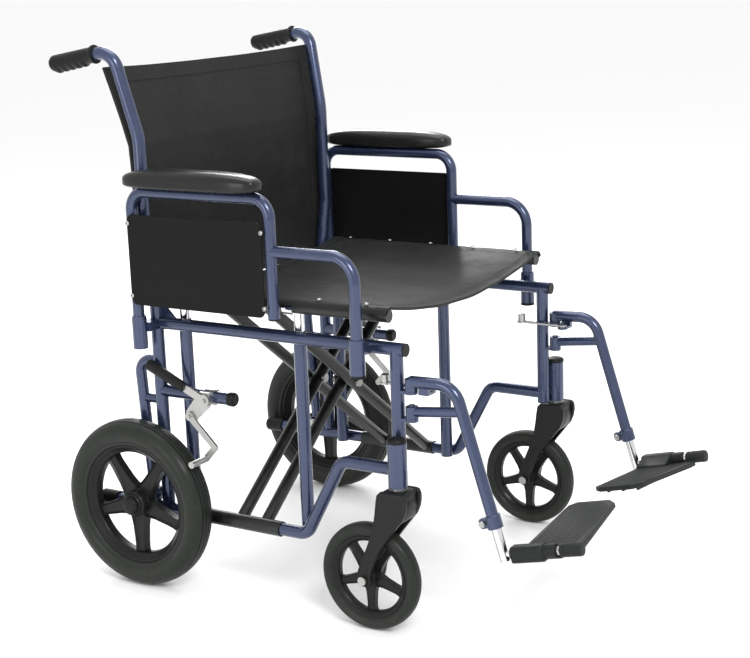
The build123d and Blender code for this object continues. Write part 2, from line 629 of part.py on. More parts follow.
def back_upholstery():
    """Sling behind the canes, following their bend."""
    lean = tan(radians(CANE_LEAN))
    near = BACK_POST_Y + POST_R + 0.6
    low, high = BACK_CLOTH_Z
    bend_z = CANE_BEND_Z - 14
    shift = (high - bend_z) * lean + 3
    outline = [(near, low), (near + 0.6, bend_z), (near + shift, high)]
    rear = near + BACK_CLOTH
    outline += [(rear + shift, high), (rear + 0.6, bend_z), (rear, low)]
    edge = [(FRAME_HALF + out, z) for z, out in BACK_CLOTH_OUT]
    widest = max(half for half, z in edge)
    plan = edge + [(-half, z) for half, z in reversed(edge)]
    across_face = make_face(Plane.XZ * Polyline(*plan, close=True))
    band = Pos(0, rear + shift + 60, 0) * extrude(across_face, 400, dir=(0, -1, 0))
    return side_plate(outline, -widest, widest) & band


# ================================================================ footrest, right
def slope_y(z):
    """Where the hanger's sloping tube is at this height."""
    return HANGER_CORNER_Y - (HANGER_TOP_Z + 2 - z) * SLOPE


def hanger():
    x = -HANGER_HALF
    top = [(HINGE_Y, HANGER_TOP_Z), (HANGER_CORNER_Y, HANGER_TOP_Z + 2)]
    top += [(slope_y(HANGER_END_Z), HANGER_END_Z)]
    upper = [(x, y, z) for y, z in top]
    low_end = HANGER_LOW_Z + 10
    lower = [(x, HINGE_Y, HANGER_LOW_Z), (x, slope_y(low_end), low_end)]
    body = rod(upper, SMALL_R, HANGER_BEND) + rod(lower, SMALL_R * 0.85)
    for z in TAB_ZS:
        body += post(x, HINGE_Y, z + SIDE_GAP, z + EYE_H, EYE_R)
    lug_z = (RELEASE_Z - 5, RELEASE_Z - 0.6)
    px, py = RELEASE_PIVOT
    body += block((x, px), (py - 9, py + 9), lug_z) + post(px, py, *lug_z, 9)
    body += block((x - 4, x + 4), (py - 9, py + 9), (lug_z[0], HANGER_TOP_Z))
    body += post(px, py, lug_z[0], RELEASE_Z + RELEASE_T + 4, 3)
    body -= rod(upper, LEG_R + RUNNING, HANGER_BEND)
    for z in TAB_ZS:
        pin = post(x, HINGE_Y, z - 1, z + EYE_H + 4, HINGE_PIN_R + RUNNING)
        body -= pin
        body += post(x, HINGE_Y, z + SIDE_GAP, z + EYE_H, EYE_R) - pin
    return body


def hanger_clamp():
    """Split clamp and bolt at the lower end of the sloping tube."""
    x = -HANGER_HALF
    low = HANGER_END_Z - 4
    axis = Plane(origin=(x, slope_y(low), low), x_dir=(1, 0, 0), z_dir=(0, SLOPE, 1))
    ring = extrude(axis * Circle(CLAMP_R), CLAMP_H)
    ring += axis * Pos(0, 17, CLAMP_H / 2) * Box(15, 18, CLAMP_H * 0.8)
    ring -= extrude(axis * Circle(SMALL_R), CLAMP_H + 20)
    ring -= axis * Pos(0, 20, CLAMP_H / 2) * Box(2.2, 24, CLAMP_H + 2)
    ring += axis * Pos(0, 18, CLAMP_H / 2) * Rot(0, 90, 0) * Cylinder(3.2, 26)
    return ring - extrude(axis * Pos(0, 0, -30) * Circle(LEG_R + RUNNING), 60)


def foot_plane(x, distance=0.0):
    """Across the footplate's hinge axis, this far forward along it, local Y inboard-up."""
    tilt = radians(FOOT_TILT)
    origin = (x, slope_y(FOOT_AXIS_Z) - distance * cos(tilt), FOOT_AXIS_Z + distance * sin(tilt))
    return Plane(origin=origin, x_dir=(1, 0, 0), z_dir=(0, -cos(tilt), sin(tilt)))


def leg_tube():
    x = -HANGER_HALF
    line = [(x, slope_y(LEG_BOTTOM_Z), LEG_BOTTOM_Z), (x, slope_y(LEG_TOP_Z), LEG_TOP_Z)]
    closed_z = LEG_BOTTOM_Z + 24
    tube = rod(line, LEG_R) - rod([(x, slope_y(closed_z), closed_z), line[1]], LEG_R - LEG_WALL)
    pin_length = FOOT_CAP[0] + 10 - FOOT_PIN_START
    return tube + extrude(foot_plane(x, FOOT_PIN_START) * Circle(FOOT_PIN_R), pin_length)


def foot_cap():
    """Black end cap that holds the footplate on its pin."""
    x = -HANGER_HALF
    length = FOOT_CAP[1] - FOOT_CAP[0]
    cap = extrude(foot_plane(x, FOOT_CAP[0]) * Circle(FOOT_CAP_R), length)
    bore = extrude(foot_plane(x, FOOT_CAP[0] - 20) * Circle(FOOT_PIN_R + RUNNING), 30 + SOFT_GAP)
    return cap - bore


def footplate():
    x = -HANGER_HALF
    start, end = FOOT_BARREL
    barrel = extrude(foot_plane(x, start) * Circle(FOOT_BARREL_R), end - start)
    angle = radians(FOOT_TILT)
    tilt = Plane(origin=foot_plane(x).origin, x_dir=(1, 0, 0), z_dir=(0, sin(angle), cos(angle)))
    # plan: local X inboard, local Y back along the hinge axis
    plan = [(0, -FOOT_REAR), (FOOT_WIDTH - 12, -FOOT_REAR), (FOOT_WIDTH, -FOOT_REAR - 12)]
    plan += [(FOOT_WIDTH, -FOOT_FRONT_IN + 16), (FOOT_WIDTH - 16, -FOOT_FRONT_IN), (40, -FOOT_FRONT)]
    plan += [(14, -FOOT_FRONT), (14, -end - 6), (0, -end - 6)]
    roll = Rot(0, -FOOT_ROLL, 0)
    face = make_face(Polyline(*plan, close=True))
    plate = tilt * roll * Pos(0, 0, -FOOT_DROP - FOOT_T) * extrude(face, FOOT_T)
    ribs = Part()
    for index in range(3):
        along = -FOOT_REAR - 16 - 28 * index
        middle = Pos(FOOT_WIDTH / 2 + 6, along, -FOOT_DROP - FOOT_T - 3)
        ribs += tilt * roll * middle * Box(FOOT_WIDTH - 60, 5, 6)
    whole = plate + ribs + barrel
    whole -= extrude(foot_plane(x, 0) * Circle(FOOT_PIN_R + RUNNING), 180)
    return group([whole, foot_cap()])


# ================================================================ brake, right
def brake_bracket():
    y0, y1 = BRAKE_CLAMP_Y - BRAKE_CLAMP_W / 2, BRAKE_CLAMP_Y + BRAKE_CLAMP_W / 2
    ring = fore_aft(-FRAME_HALF, y0, y1, STUB_Z, RAIL_R + 3)
    plate_x = BRAKE_X + BRAKE_PLATE_T / 2 + SIDE_GAP
    sy, sz = SHOE_PIVOT
    outline = [(y0, STUB_Z + 12), (LEVER_PIVOT[0] + 12, STUB_Z + 12), (sy + 9, sz + 8)]
    outline += [(sy + 9, sz - 9), (sy - 9, sz - 9), (y0, STUB_Z - 12)]
    ring += side_plate(outline, plate_x, plate_x + 3.4)
    ring += block((plate_x, -FRAME_HALF - RAIL_R), (y0, y1), (STUB_Z - 8, STUB_Z + 8))
    ring -= fore_aft(-FRAME_HALF, y0 - 1, y1 + 90, STUB_Z, RAIL_R)
    for y, z in (LEVER_PIVOT, SHOE_PIVOT):
        ring += across(plate_x, BRAKE_X - BRAKE_PLATE_T / 2 - 3, y, z, BRAKE_PIN_R)
    return ring


def lever_point(distance):
    rise = radians(LEVER_RISE)
    return LEVER_PIVOT[0] + distance * cos(rise), LEVER_PIVOT[1] + distance * sin(rise)


def brake_lever():
    half = BRAKE_PLATE_T / 2
    y, z = LEVER_PIVOT
    lever = across(BRAKE_X - half, BRAKE_X + half, y, z, 11)
    rise = radians(LEVER_RISE)
    along = Plane(origin=(BRAKE_X, y, z), x_dir=(1, 0, 0), z_dir=(0, cos(rise), sin(rise)))
    lever += along * Pos(0, 0, (LEVER_REACH - 8) / 2) * Box(BRAKE_PLATE_T, 14, LEVER_REACH - 8)
    return lever - across(BRAKE_X - 20, BRAKE_X + 20, y, z, BRAKE_PIN_R + RUNNING)


def brake_grip():
    rise = radians(LEVER_RISE)
    y, z = lever_point(LEVER_STEEL)
    plane = Plane(origin=(BRAKE_X, y, z), x_dir=(1, 0, 0), z_dir=(0, cos(rise), sin(rise)))
    length = LEVER_REACH - LEVER_STEEL
    grip = extrude(plane * Circle(LEVER_GRIP_R), length, taper=-1.2)
    return grip - plane * Pos(0, 0, (length - 8) / 2 - 1) * Box(BRAKE_PLATE_T, 14, length - 6)


def brake_shoe():
    half = BRAKE_PLATE_T / 2
    (y0, z0), (y1, z1), (y2, z2) = SHOE_PIVOT, SHOE_ELBOW, SHOE_TIP
    link = rod([(BRAKE_X, y0, z0), (BRAKE_X, y1, z1)], 6) + Pos(BRAKE_X, y1, z1) * Sphere(6)
    link += rod([(BRAKE_X, y1, z1), (BRAKE_X, y2, z2)], 6)
    band = block((BRAKE_X - half, BRAKE_X + half), (y1 - 60, y0 + 60), (z2 - 60, z0 + 60))
    link = (link & band) + across(BRAKE_X - half, BRAKE_X + half, y0, z0, 8)
    link += across(BRAKE_X + half, SHOE_END_X, y2, z2, SHOE_R)
    return link - across(BRAKE_X - 20, BRAKE_X + 20, y0, z0, BRAKE_PIN_R + RUNNING)


# ================================================================ hanger release, right
def release_lever():
    px, py = RELEASE_PIVOT
    z = (RELEASE_Z, RELEASE_Z + RELEASE_T)
    lever = post(px, py, *z, 8) + block((px - 5, px + 5), (py, RELEASE_REAR_Y), z)
    lever += post(px, RELEASE_REAR_Y, *z, 9)
    lever += post(px, RELEASE_REAR_Y, z[1], z[1] + RELEASE_KNOB_H, RELEASE_KNOB_R)
    return lever - post(px, py, 0, 600, 3 + RUNNING)


# ================================================================ fasteners of the cloth
def seat_screws():
    """Right seat rail's screws, which travel with that rail when the chair folds."""
    solids = []
    for index in range(5):
        y = SEAT_CLOTH_YS[0] + 45 + index * 92
        z = SEAT_RAIL_Z + RAIL_R + SOFT_GAP + SEAT_LIFT + SEAT_CLOTH
        solids.append(post(-FRAME_HALF + 1, y, z + 0.1, z + 2.2, SCREW_R))
    return group(solids)


def back_screws():
    solids = []
    near = BACK_POST_Y + POST_R + 0.6 + BACK_CLOTH
    for index in range(3):
        z = BACK_CLOTH_Z[0] + 19 + index * 120
        x = -FRAME_HALF - (CANE_OUT if index else 0)
        solids.append(fore_aft(x, near + 0.6, near + 2.8, z, SCREW_R))
    return group(solids)


# ================================================================ write every piece
SIDED = {
    "side_frame": side_frame,
    "back_cane": back_cane,
    "frame_plugs": frame_plugs,
    "push_grip": push_grip,
    "rear_tyre": rear_tyre,
    "rear_wheel": rear_wheel,
    "rear_axle": rear_axle,
    "caster_tyre": caster_tyre,
    "caster_wheel": caster_wheel,
    "caster_fork": caster_fork,
    "caster_pins": caster_pins,
    "stem_bearings": stem_bearings,
    "arm_tube": arm_tube,
    "arm_pad": arm_pad,
    "side_panel": side_panel,
    "arm_screws": arm_screws,
    "guide_posts": guide_posts,
    "hanger": hanger,
    "hanger_clamp": hanger_clamp,
    "leg_tube": leg_tube,
    "footplate": footplate,
    "brake_bracket": brake_bracket,
    "brake_lever": brake_lever,
    "brake_grip": brake_grip,
    "brake_shoe": brake_shoe,
    "release_lever": release_lever,
    "seat_screws": seat_screws,
    "back_screws": back_screws,
}
SHARED = {
    "cross_arm_inner": lambda: cross_arm(INNER_YS, -1),
    "cross_arm_outer": lambda: cross_arm(OUTER_YS, 1),
    "pivot_bolts": pivot_bolts,
    "seat_upholstery": seat_upholstery,
    "back_upholstery": back_upholstery,
}


def write(name, shape):
    placed = Pos(0, -ORIGIN_Y, 0) * shape
    export_step(group(placed.solids()), f"parts/{name}.step")


for name, make in SIDED.items():
    piece = make()
    write(name + "_right", piece)
    write(name + "_left", mirror(piece, about=Plane.YZ))
for name, make in SHARED.items():
    write(name, make())
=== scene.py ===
# Folding transport wheelchair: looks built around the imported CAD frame.
# Metres, +Z up, the chair faces -Y. "right" is the occupant's right (-X).
import json
from math import atan2, cos, exp, hypot, pi, radians, sin

import bmesh
import bpy
from mathutils import Matrix, Vector


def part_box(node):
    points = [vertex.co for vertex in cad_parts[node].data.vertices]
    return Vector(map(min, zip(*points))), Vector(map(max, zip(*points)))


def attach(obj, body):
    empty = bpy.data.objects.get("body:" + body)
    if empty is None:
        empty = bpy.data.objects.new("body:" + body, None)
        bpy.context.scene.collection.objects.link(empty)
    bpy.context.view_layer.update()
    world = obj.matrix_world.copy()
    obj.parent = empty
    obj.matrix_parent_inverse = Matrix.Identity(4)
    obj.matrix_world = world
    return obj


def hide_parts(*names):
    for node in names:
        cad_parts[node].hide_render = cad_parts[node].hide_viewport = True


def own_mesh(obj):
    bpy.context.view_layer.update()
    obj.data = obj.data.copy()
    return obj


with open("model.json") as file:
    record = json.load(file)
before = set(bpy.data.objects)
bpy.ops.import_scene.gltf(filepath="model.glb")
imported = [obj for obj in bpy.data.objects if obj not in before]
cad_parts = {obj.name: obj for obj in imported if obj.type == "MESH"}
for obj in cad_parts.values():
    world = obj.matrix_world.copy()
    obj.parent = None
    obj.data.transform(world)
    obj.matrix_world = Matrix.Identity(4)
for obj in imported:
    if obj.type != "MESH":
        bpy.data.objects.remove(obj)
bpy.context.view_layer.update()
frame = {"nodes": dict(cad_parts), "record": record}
nodes = frame["nodes"]
print("frame loaded:", len(nodes), "CAD nodes")


# working habits: selecting, editing, finishing

def clearSelection():
    active = bpy.context.object
    if active and active.mode != "OBJECT":
        bpy.ops.object.mode_set(mode="OBJECT")
    bpy.ops.object.select_all(action="DESELECT")


def takeUp(piece):
    clearSelection()
    piece.select_set(True)
    bpy.context.view_layer.objects.active = piece


def edit(piece):
    takeUp(piece)
    bpy.ops.object.mode_set(mode="EDIT")
    bpy.ops.mesh.select_mode(type="VERT")


def done(piece):
    bpy.ops.object.mode_set(mode="OBJECT")
    return piece


def pick(piece, kind, test):
    bpy.ops.mesh.select_mode(type=kind)
    bpy.ops.mesh.select_all(action="DESELECT")
    mesh = bmesh.from_edit_mesh(piece.data)
    items = {"VERT": mesh.verts, "EDGE": mesh.edges, "FACE": mesh.faces}[kind]
    for item in items:
        if test(item):
            item.select_set(True)
    mesh.select_flush_mode()
    bmesh.update_edit_mesh(piece.data)


def chain(name, points):                      # a run of edges drawn by extruding one vertex
    clearSelection()
    bpy.ops.mesh.primitive_plane_add(size=0.001, location=points[0])
    piece = bpy.context.object
    piece.name = name
    edit(piece)
    bpy.ops.mesh.select_all(action="SELECT")
    bpy.ops.mesh.merge(type="CENTER")
    for here, there in zip(points, points[1:]):
        bpy.ops.mesh.extrude_region_move(TRANSFORM_OT_translate={"value": there - here})
    return piece


def settle(piece, smooth=35, merge=1e-6, outward=True):   # clean mesh, place in the vertices, smooth shading
    if piece.mode != "EDIT":
        edit(piece)
    bpy.ops.mesh.select_all(action="SELECT")
    bpy.ops.mesh.remove_doubles(threshold=merge)
    if outward:
        bpy.ops.mesh.normals_make_consistent(inside=False)
    done(piece)
    bpy.ops.object.transform_apply(location=True, rotation=True, scale=True)
    bpy.ops.object.shade_smooth_by_angle(angle=radians(smooth))
    return piece


def turned(name, profile, centre, axis, steps=48, closed=True, smooth=35):
    centre, axis = Vector(centre), Vector(axis).normalized()
    side = axis.orthogonal().normalized()
    points = [centre + axis * along + side * radius for radius, along in profile]
    piece = chain(name, points)
    if closed:
        last = len(points) - 1
        pick(piece, "VERT", lambda v: v.index in (0, last))
        bpy.ops.mesh.edge_face_add()
    bpy.ops.mesh.select_all(action="SELECT")
    bpy.ops.mesh.spin(steps=steps, angle=2 * pi, center=centre, axis=axis)
    return settle(piece, smooth, merge=2e-6)


def softenEdges(piece, offset, segments=2, angle=35):
    if offset:
        bpy.ops.mesh.select_mode(type="EDGE")
        bpy.ops.mesh.select_all(action="DESELECT")
        bpy.ops.mesh.edges_select_sharp(sharpness=radians(angle))
        bpy.ops.mesh.bevel(offset=offset, segments=segments, affect="EDGES", clamp_overlap=True)


def plate(name, outline, thick, soften=0.0, segments=2, smooth=35):
    piece = chain(name, [Vector(p) for p in outline])
    bpy.ops.mesh.select_all(action="SELECT")
    bpy.ops.mesh.edge_face_add()
    bpy.ops.mesh.extrude_region_move(TRANSFORM_OT_translate={"value": Vector(thick)})
    bpy.ops.mesh.select_all(action="SELECT")
    bpy.ops.mesh.normals_make_consistent(inside=False)
    softenEdges(piece, soften, segments)
    return settle(piece, smooth)


def block(name, low, high, soften=0.0, segments=2, smooth=35):
    low, high = Vector(low), Vector(high)
    clearSelection()
    bpy.ops.mesh.primitive_cube_add(size=1, location=(low + high) / 2, scale=high - low)
    piece = bpy.context.object
    piece.name = name
    edit(piece)
    softenEdges(piece, soften, segments)
    return settle(piece, smooth)


def joined(name, pieces):
    takeUp(pieces[0])
    for other in pieces[1:]:
        other.select_set(True)
    bpy.ops.object.join()
    whole = bpy.context.object
    whole.name = name
    whole.data.name = name
    return whole


def copied(piece, name, move=(0, 0, 0)):
    takeUp(piece)
    bpy.ops.object.duplicate(linked=False)
    twin = bpy.context.object
    twin.name = name
    twin.data.name = name
    if Vector(move).length:
        twin.location = Vector(move)
        bpy.ops.object.transform_apply(location=True, rotation=False, scale=False)
    return twin


def mirrored(piece, name):                    # the left-hand copy, with its own mesh
    twin = copied(piece, name)
    edit(twin)
    bpy.ops.mesh.select_all(action="SELECT")
    bpy.ops.transform.resize(value=(-1, 1, 1), center_override=(0, 0, 0))
    bpy.ops.mesh.flip_normals()
    return done(twin)


def reshape(piece, rule):                     # moves each vertex by a rule of its place
    for vertex in piece.data.vertices:
        vertex.co = rule(vertex.co)
    piece.data.update()
    return piece


def modify(piece, kind, **settings):
    takeUp(piece)
    modifier = piece.modifiers.new(kind.title(), kind)
    for key, value in settings.items():
        setattr(modifier, key, value)
    bpy.ops.object.modifier_apply(modifier=modifier.name)
    return piece


def smoothstep(low, high, value):
    t = min(max((value - low) / (high - low), 0), 1)
    return t * t * (3 - 2 * t)


# finishes

class Wire:                                   # a node's output that can be added, multiplied, compared
    def __init__(self, finish, socket):
        self.finish, self.socket = finish, socket

    def maths(self, operation, first, second=None):
        inputs = {0: first} if second is None else {0: first, 1: second}
        return self.finish.node("ShaderNodeMath", {"operation": operation}, inputs)

    def __add__(self, other):
        return self.maths("ADD", self, other)

    def __radd__(self, other):
        return self.maths("ADD", other, self)

    def __sub__(self, other):
        return self.maths("SUBTRACT", self, other)

    def __rsub__(self, other):
        return self.maths("SUBTRACT", other, self)

    def __mul__(self, other):
        return self.maths("MULTIPLY", self, other)

    def __rmul__(self, other):
        return self.maths("MULTIPLY", other, self)

    def __truediv__(self, other):
        return self.maths("DIVIDE", self, other)

    def sine(self):
        return self.maths("SINE", self)

    def clamp(self):
        return self.finish.node("ShaderNodeClamp", {}, {"Value": self})


class Finish:                                 # one material and the nodes it is made of
    def __init__(self, name, **constants):
        self.material = bpy.data.materials.new(name)
        self.material.use_nodes = True
        self.tree = self.material.node_tree
        self.shader = self.tree.nodes["Principled BSDF"]
        for key, value in constants.items():
            self.shader.inputs[key.replace("_", " ")].default_value = value

    def node(self, kind, settings=None, inputs=None, output=0):
        made = self.tree.nodes.new(kind)
        for key, value in (settings or {}).items():
            if key == "stops":
                ramp = made.color_ramp.elements
                while len(ramp) < len(value):
                    ramp.new(0.5)
                for element, (position, shade) in zip(ramp, value):
                    element.position = position
                    element.color = (*shade, 1) if hasattr(shade, "__len__") else (shade, shade, shade, 1)
            else:
                setattr(made, key, value)
        for key, value in (inputs or {}).items():
            if isinstance(value, Wire):
                self.tree.links.new(value.socket, made.inputs[key])
            else:
                made.inputs[key].default_value = value
        return Wire(self, made.outputs[output])

    def place(self, source="Object", scale=(1, 1, 1), turn=(0, 0, 0)):
        if source == "Object":
            start = self.node("ShaderNodeTexCoord", output="Object")
        else:
            start = self.node("ShaderNodeUVMap", {"uv_map": source})
        return self.node("ShaderNodeMapping", {}, {"Vector": start, "Scale": scale, "Rotation": turn})

    def noise(self, where, scale, detail=3, rough=0.5):
        return self.node("ShaderNodeTexNoise", {}, {"Vector": where, "Scale": scale, "Detail": detail, "Roughness": rough})

    def cells(self, where, scale, output="Distance"):
        return self.node("ShaderNodeTexVoronoi", {}, {"Vector": where, "Scale": scale}, output)

    def split(self, where, axis):
        return self.node("ShaderNodeSeparateXYZ", {}, {"Vector": where}, axis)

    def spread(self, wire, low, high, newLow=0.0, newHigh=1.0):
        inputs = {"Value": wire, "From Min": low, "From Max": high, "To Min": newLow, "To Max": newHigh}
        return self.node("ShaderNodeMapRange", {"clamp": True}, inputs)

    def mix(self, amount, first, second):
        first = first if isinstance(first, Wire) else (*first, 1)
        second = second if isinstance(second, Wire) else (*second, 1)
        return self.node("ShaderNodeMix", {"data_type": "RGBA"}, {0: amount, 6: first, 7: second}, 2)

    def bump(self, height, distance, strength=1.0, under=None):
        inputs = {"Height": height, "Distance": distance, "Strength": strength}
        if under:
            inputs["Normal"] = under
        return self.node("ShaderNodeBump", {}, inputs)

    def feed(self, **wires):
        for key, wire in wires.items():
            self.tree.links.new(wire.socket, self.shader.inputs[key.replace("_", " ")])
        return self.material


def paintedTube(name, deep, bright, metallic, gloss, flake):
    paint = Finish(name, Coat_Roughness=0.07, IOR=1.5)
    where = paint.place()
    sparkle = paint.cells(where, flake["scale"], "Color")
    sparkleAmount = paint.split(sparkle, 0)
    drift = paint.noise(where, 9, 2)
    dust = paint.spread(paint.noise(where, 60, 4, 0.6), 0.45, 0.75)
    scuff = paint.spread(paint.noise(where, 340, 3, 0.7), 0.66, 0.74)
    tone = (sparkleAmount * flake["amount"] + drift * 0.35 + 0.12).clamp()
    colour = paint.mix(tone, deep, bright)
    colour = paint.mix(dust * 0.05, colour, (0.16, 0.16, 0.17))
    peel = paint.noise(where, 260, 2)
    normal = paint.bump(peel, 0.0006, 0.10)
    normal = paint.bump(sparkleAmount, 0.00005, 0.04, normal)
    return paint.feed(
        Base_Color=colour,
        Roughness=(gloss + drift * 0.10 + dust * 0.05 + scuff * 0.06).clamp(),
        Metallic=(metallic - dust * 0.08).clamp(),
        Coat_Weight=(flake["coat"] - dust * 0.07).clamp(),
        Normal=normal,
    )


def platedSteel(name, base, rough, brushed, dirt, metallic=1.0):
    plating = Finish(name, IOR=1.6)
    where = plating.place()
    along = plating.place(scale=(1, 0.06, 1))
    lines = plating.noise(along, 900, 2)
    haze = plating.noise(where, 45, 4, 0.6)
    grime = plating.spread(plating.noise(where, 18, 5, 0.65), 0.50, 0.78)
    colour = plating.mix(haze * 0.5, base, tuple(c * 0.72 for c in base))
    colour = plating.mix(grime * dirt, colour, (0.10, 0.095, 0.085))
    normal = plating.bump(lines, 0.0003, brushed)
    normal = plating.bump(haze, 0.0008, 0.08, normal)
    return plating.feed(
        Base_Color=colour,
        Roughness=(rough + lines * brushed * 0.3 + grime * 0.18).clamp(),
        Metallic=(metallic - grime * dirt).clamp(),
        Normal=normal,
    )


def mouldedPlastic(name, base, lighter, rough, grain, depth, coat=0.0, speck=0.0):
    plastic = Finish(name, IOR=1.45, Coat_Roughness=0.2, Specular_IOR_Level=0.13)
    where = plastic.place()
    pebble = plastic.cells(where, grain)
    patch = plastic.noise(where, 14, 4, 0.6)
    fine = plastic.noise(where, grain * 2.2, 2)
    chalk = plastic.spread(plastic.noise(where, 150, 5, 0.7), 0.58, 0.80)
    colour = plastic.mix(patch * 0.55 + fine * 0.2, base, lighter)
    colour = plastic.mix(chalk * speck, colour, (0.13, 0.13, 0.12))
    normal = plastic.bump(pebble, depth, 0.45)
    normal = plastic.bump(patch, 0.002, 0.05, normal)
    return plastic.feed(
        Base_Color=colour,
        Roughness=(rough + patch * 0.14 + chalk * speck).clamp(),
        Coat_Weight=(coat - chalk * 0.3 * coat).clamp(),
        Normal=normal,
    )


def tyreRubber():
    rubber = Finish("tyreRubber", IOR=1.45, Coat_Roughness=0.22, Specular_IOR_Level=0.14)
    where = rubber.place()
    mould = rubber.noise(where, 420, 3, 0.6)
    patch = rubber.noise(where, 12, 5, 0.62)
    dust = rubber.spread(rubber.noise(where, 55, 6, 0.68), 0.46, 0.74)
    # painted light: the lowest 5 cm of each tyre is lightened, standing in for light bounced up from the pale floor
    height = rubber.split(where, 2)
    floorBounceLight = rubber.spread(height, 0.0, 0.05, 1.0, 0.0)
    colour = rubber.mix(patch * 0.8, (0.0100, 0.0115, 0.0102), (0.0200, 0.0225, 0.0195))
    # lighter grey from random dust patches, plus the painted floor-bounce light near the bottom
    colour = rubber.mix((dust * 0.15 + floorBounceLight * 0.12).clamp(), colour, (0.080, 0.082, 0.074))
    normal = rubber.bump(mould, 0.0004, 0.30)
    normal = rubber.bump(patch, 0.003, 0.06, normal)
    return rubber.feed(
        Base_Color=colour,
        Roughness=(0.36 + patch * 0.16 + dust * 0.16).clamp(),
        Coat_Weight=(0.16 - dust * 0.14).clamp(),
        Normal=normal,
    )


def slingCloth():
    cloth = Finish("slingCloth", IOR=1.45, Sheen_Weight=0.06, Sheen_Roughness=0.4, Sheen_Tint=(0.5, 0.5, 0.48, 1),
                   Coat_Roughness=0.3, Specular_IOR_Level=0.14)
    threads = cloth.place("weave")
    where = cloth.place()
    warp = (cloth.split(threads, 0) * (2 * pi / weave["pitch"])).sine()
    weft = (cloth.split(threads, 1) * (2 * pi / weave["pitch"])).sine()
    basket = (warp * weft * 0.5 + 0.5).clamp()
    slub = cloth.noise(cloth.place("weave", scale=(1, 0.05, 1)), 700, 2)
    patch = cloth.noise(where, 7, 5, 0.6)
    rubbed = cloth.spread(cloth.noise(where, 24, 6, 0.66), 0.48, 0.76)
    crumple = cloth.noise(where, 38, 4, 0.55)
    lint = cloth.spread(cloth.noise(where, 620, 2, 0.5), 0.70, 0.76)
    colour = cloth.mix((patch * 0.6 + basket * 0.2).clamp(), (0.0080, 0.0084, 0.0080), (0.0175, 0.0182, 0.0170))
    colour = cloth.mix((rubbed * 0.22).clamp(), colour, (0.045, 0.047, 0.044))
    colour = cloth.mix(lint * 0.5, colour, (0.11, 0.11, 0.11))
    normal = cloth.bump(basket, 0.0005, 0.5)
    normal = cloth.bump(slub, 0.0004, 0.2, normal)
    normal = cloth.bump(crumple, 0.006, 0.35, normal)
    return cloth.feed(
        Base_Color=colour,
        Roughness=(0.40 + patch * 0.14 + rubbed * 0.10 + basket * 0.06).clamp(),
        Coat_Weight=(0.10 - rubbed * 0.09).clamp(),
        Normal=normal,
    )


def skinnedFoam():
    skin = Finish("skinnedFoam", IOR=1.45, Coat_Roughness=0.16, Specular_IOR_Level=0.16)
    where = skin.place()
    grain = skin.cells(where, 620)
    crease = skin.noise(where, 90, 4, 0.6)
    patch = skin.noise(where, 10, 4, 0.55)
    worn = skin.spread(skin.noise(where, 26, 5, 0.66), 0.50, 0.76)
    colour = skin.mix(patch * 0.7, (0.0065, 0.0070, 0.0066), (0.0140, 0.0150, 0.0140))
    colour = skin.mix(worn * 0.14, colour, (0.042, 0.043, 0.040))
    normal = skin.bump(grain, 0.0004, 0.22)
    normal = skin.bump(crease, 0.0012, 0.10, normal)
    return skin.feed(
        Base_Color=colour,
        Roughness=(0.24 + patch * 0.12 + worn * 0.16).clamp(),
        Coat_Weight=(0.30 - worn * 0.2).clamp(),
        Normal=normal,
    )


weave = {"pitch": 0.0011}
blueFlake = {"scale": 1900, "amount": 0.14, "coat": 0.62}
blackFlake = {"scale": 1200, "amount": 0.06, "coat": 0.22}
finishes = {
    "frame_paint": paintedTube("bluePaint", (0.020, 0.030, 0.074), (0.046, 0.066, 0.140), 0.62, 0.22, blueFlake),
    "brace_paint": paintedTube("blackPaint", (0.0035, 0.0035, 0.0040), (0.009, 0.009, 0.0095), 0.35, 0.34, blackFlake),
    "chrome": platedSteel("chrome", (0.78, 0.78, 0.79), 0.10, 0.05, 0.10),
    "zinc_steel": platedSteel("zincSteel", (0.43, 0.43, 0.42), 0.27, 0.25, 0.28),
    "black_plastic": mouldedPlastic("blackPlastic", (0.0055, 0.0055, 0.0058),
                                    (0.012, 0.012, 0.012), 0.36, 900, 0.0003, 0.1, 0.07),
    "wheel_plastic": mouldedPlastic("wheelNylon", (0.0055, 0.0060, 0.0056), (0.013, 0.014, 0.013), 0.34, 700, 0.0003, 0.15, 0.09),
    "footplate_plastic": mouldedPlastic("footNylon", (0.011, 0.012, 0.0118),
                                        (0.022, 0.024, 0.023), 0.44, 520, 0.0005, 0.05, 0.16),
    "panel_plastic": mouldedPlastic("panelSheet", (0.0040, 0.0040, 0.0041),
                                    (0.0075, 0.0075, 0.0074), 0.46, 800, 0.0003, 0.0, 0.05),
    "grip_rubber": mouldedPlastic("gripRubber", (0.0055, 0.0055, 0.0054), (0.013, 0.013, 0.0125), 0.38, 620, 0.0004, 0.1, 0.08),
    "tyre": tyreRubber(),
    "arm_pad": skinnedFoam(),
    "seat_cloth": slingCloth(),
}
print("finishes mixed:", len(finishes))


def wear(piece, slotName, finish=None):       # gives a piece the finish of its record slot
    piece.data.materials.clear()
    piece.data.materials.append(finish or finishes[slotName])
    return piece


for part in frame["record"]["subparts"]:      # every CAD node that stays in view gets its finish here
    node = nodes[part["node"]]
    node.data.materials.clear()
    node.data.materials.append(finishes[part["material_slot"]])
    takeUp(node)
    bpy.ops.object.shade_smooth_by_angle(angle=radians(32))


def spot(node):                               # middle of a CAD node's box
    low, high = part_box(node)
    return (low + high) / 2


def pair(piece, slotName, body, *replaced, finish=None):  # dresses the right-hand piece and its left-hand twin
    stem = piece.name
    piece.name = piece.data.name = stem + "Right"
    twin = mirrored(piece, stem + "Left")
    for one, side in ((piece, "right"), (twin, "left")):
        wear(one, slotName, finish)
        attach(one, body.format(side))
        if replaced:
            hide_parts(*(name.format(side) for name in replaced))
    return piece, twin


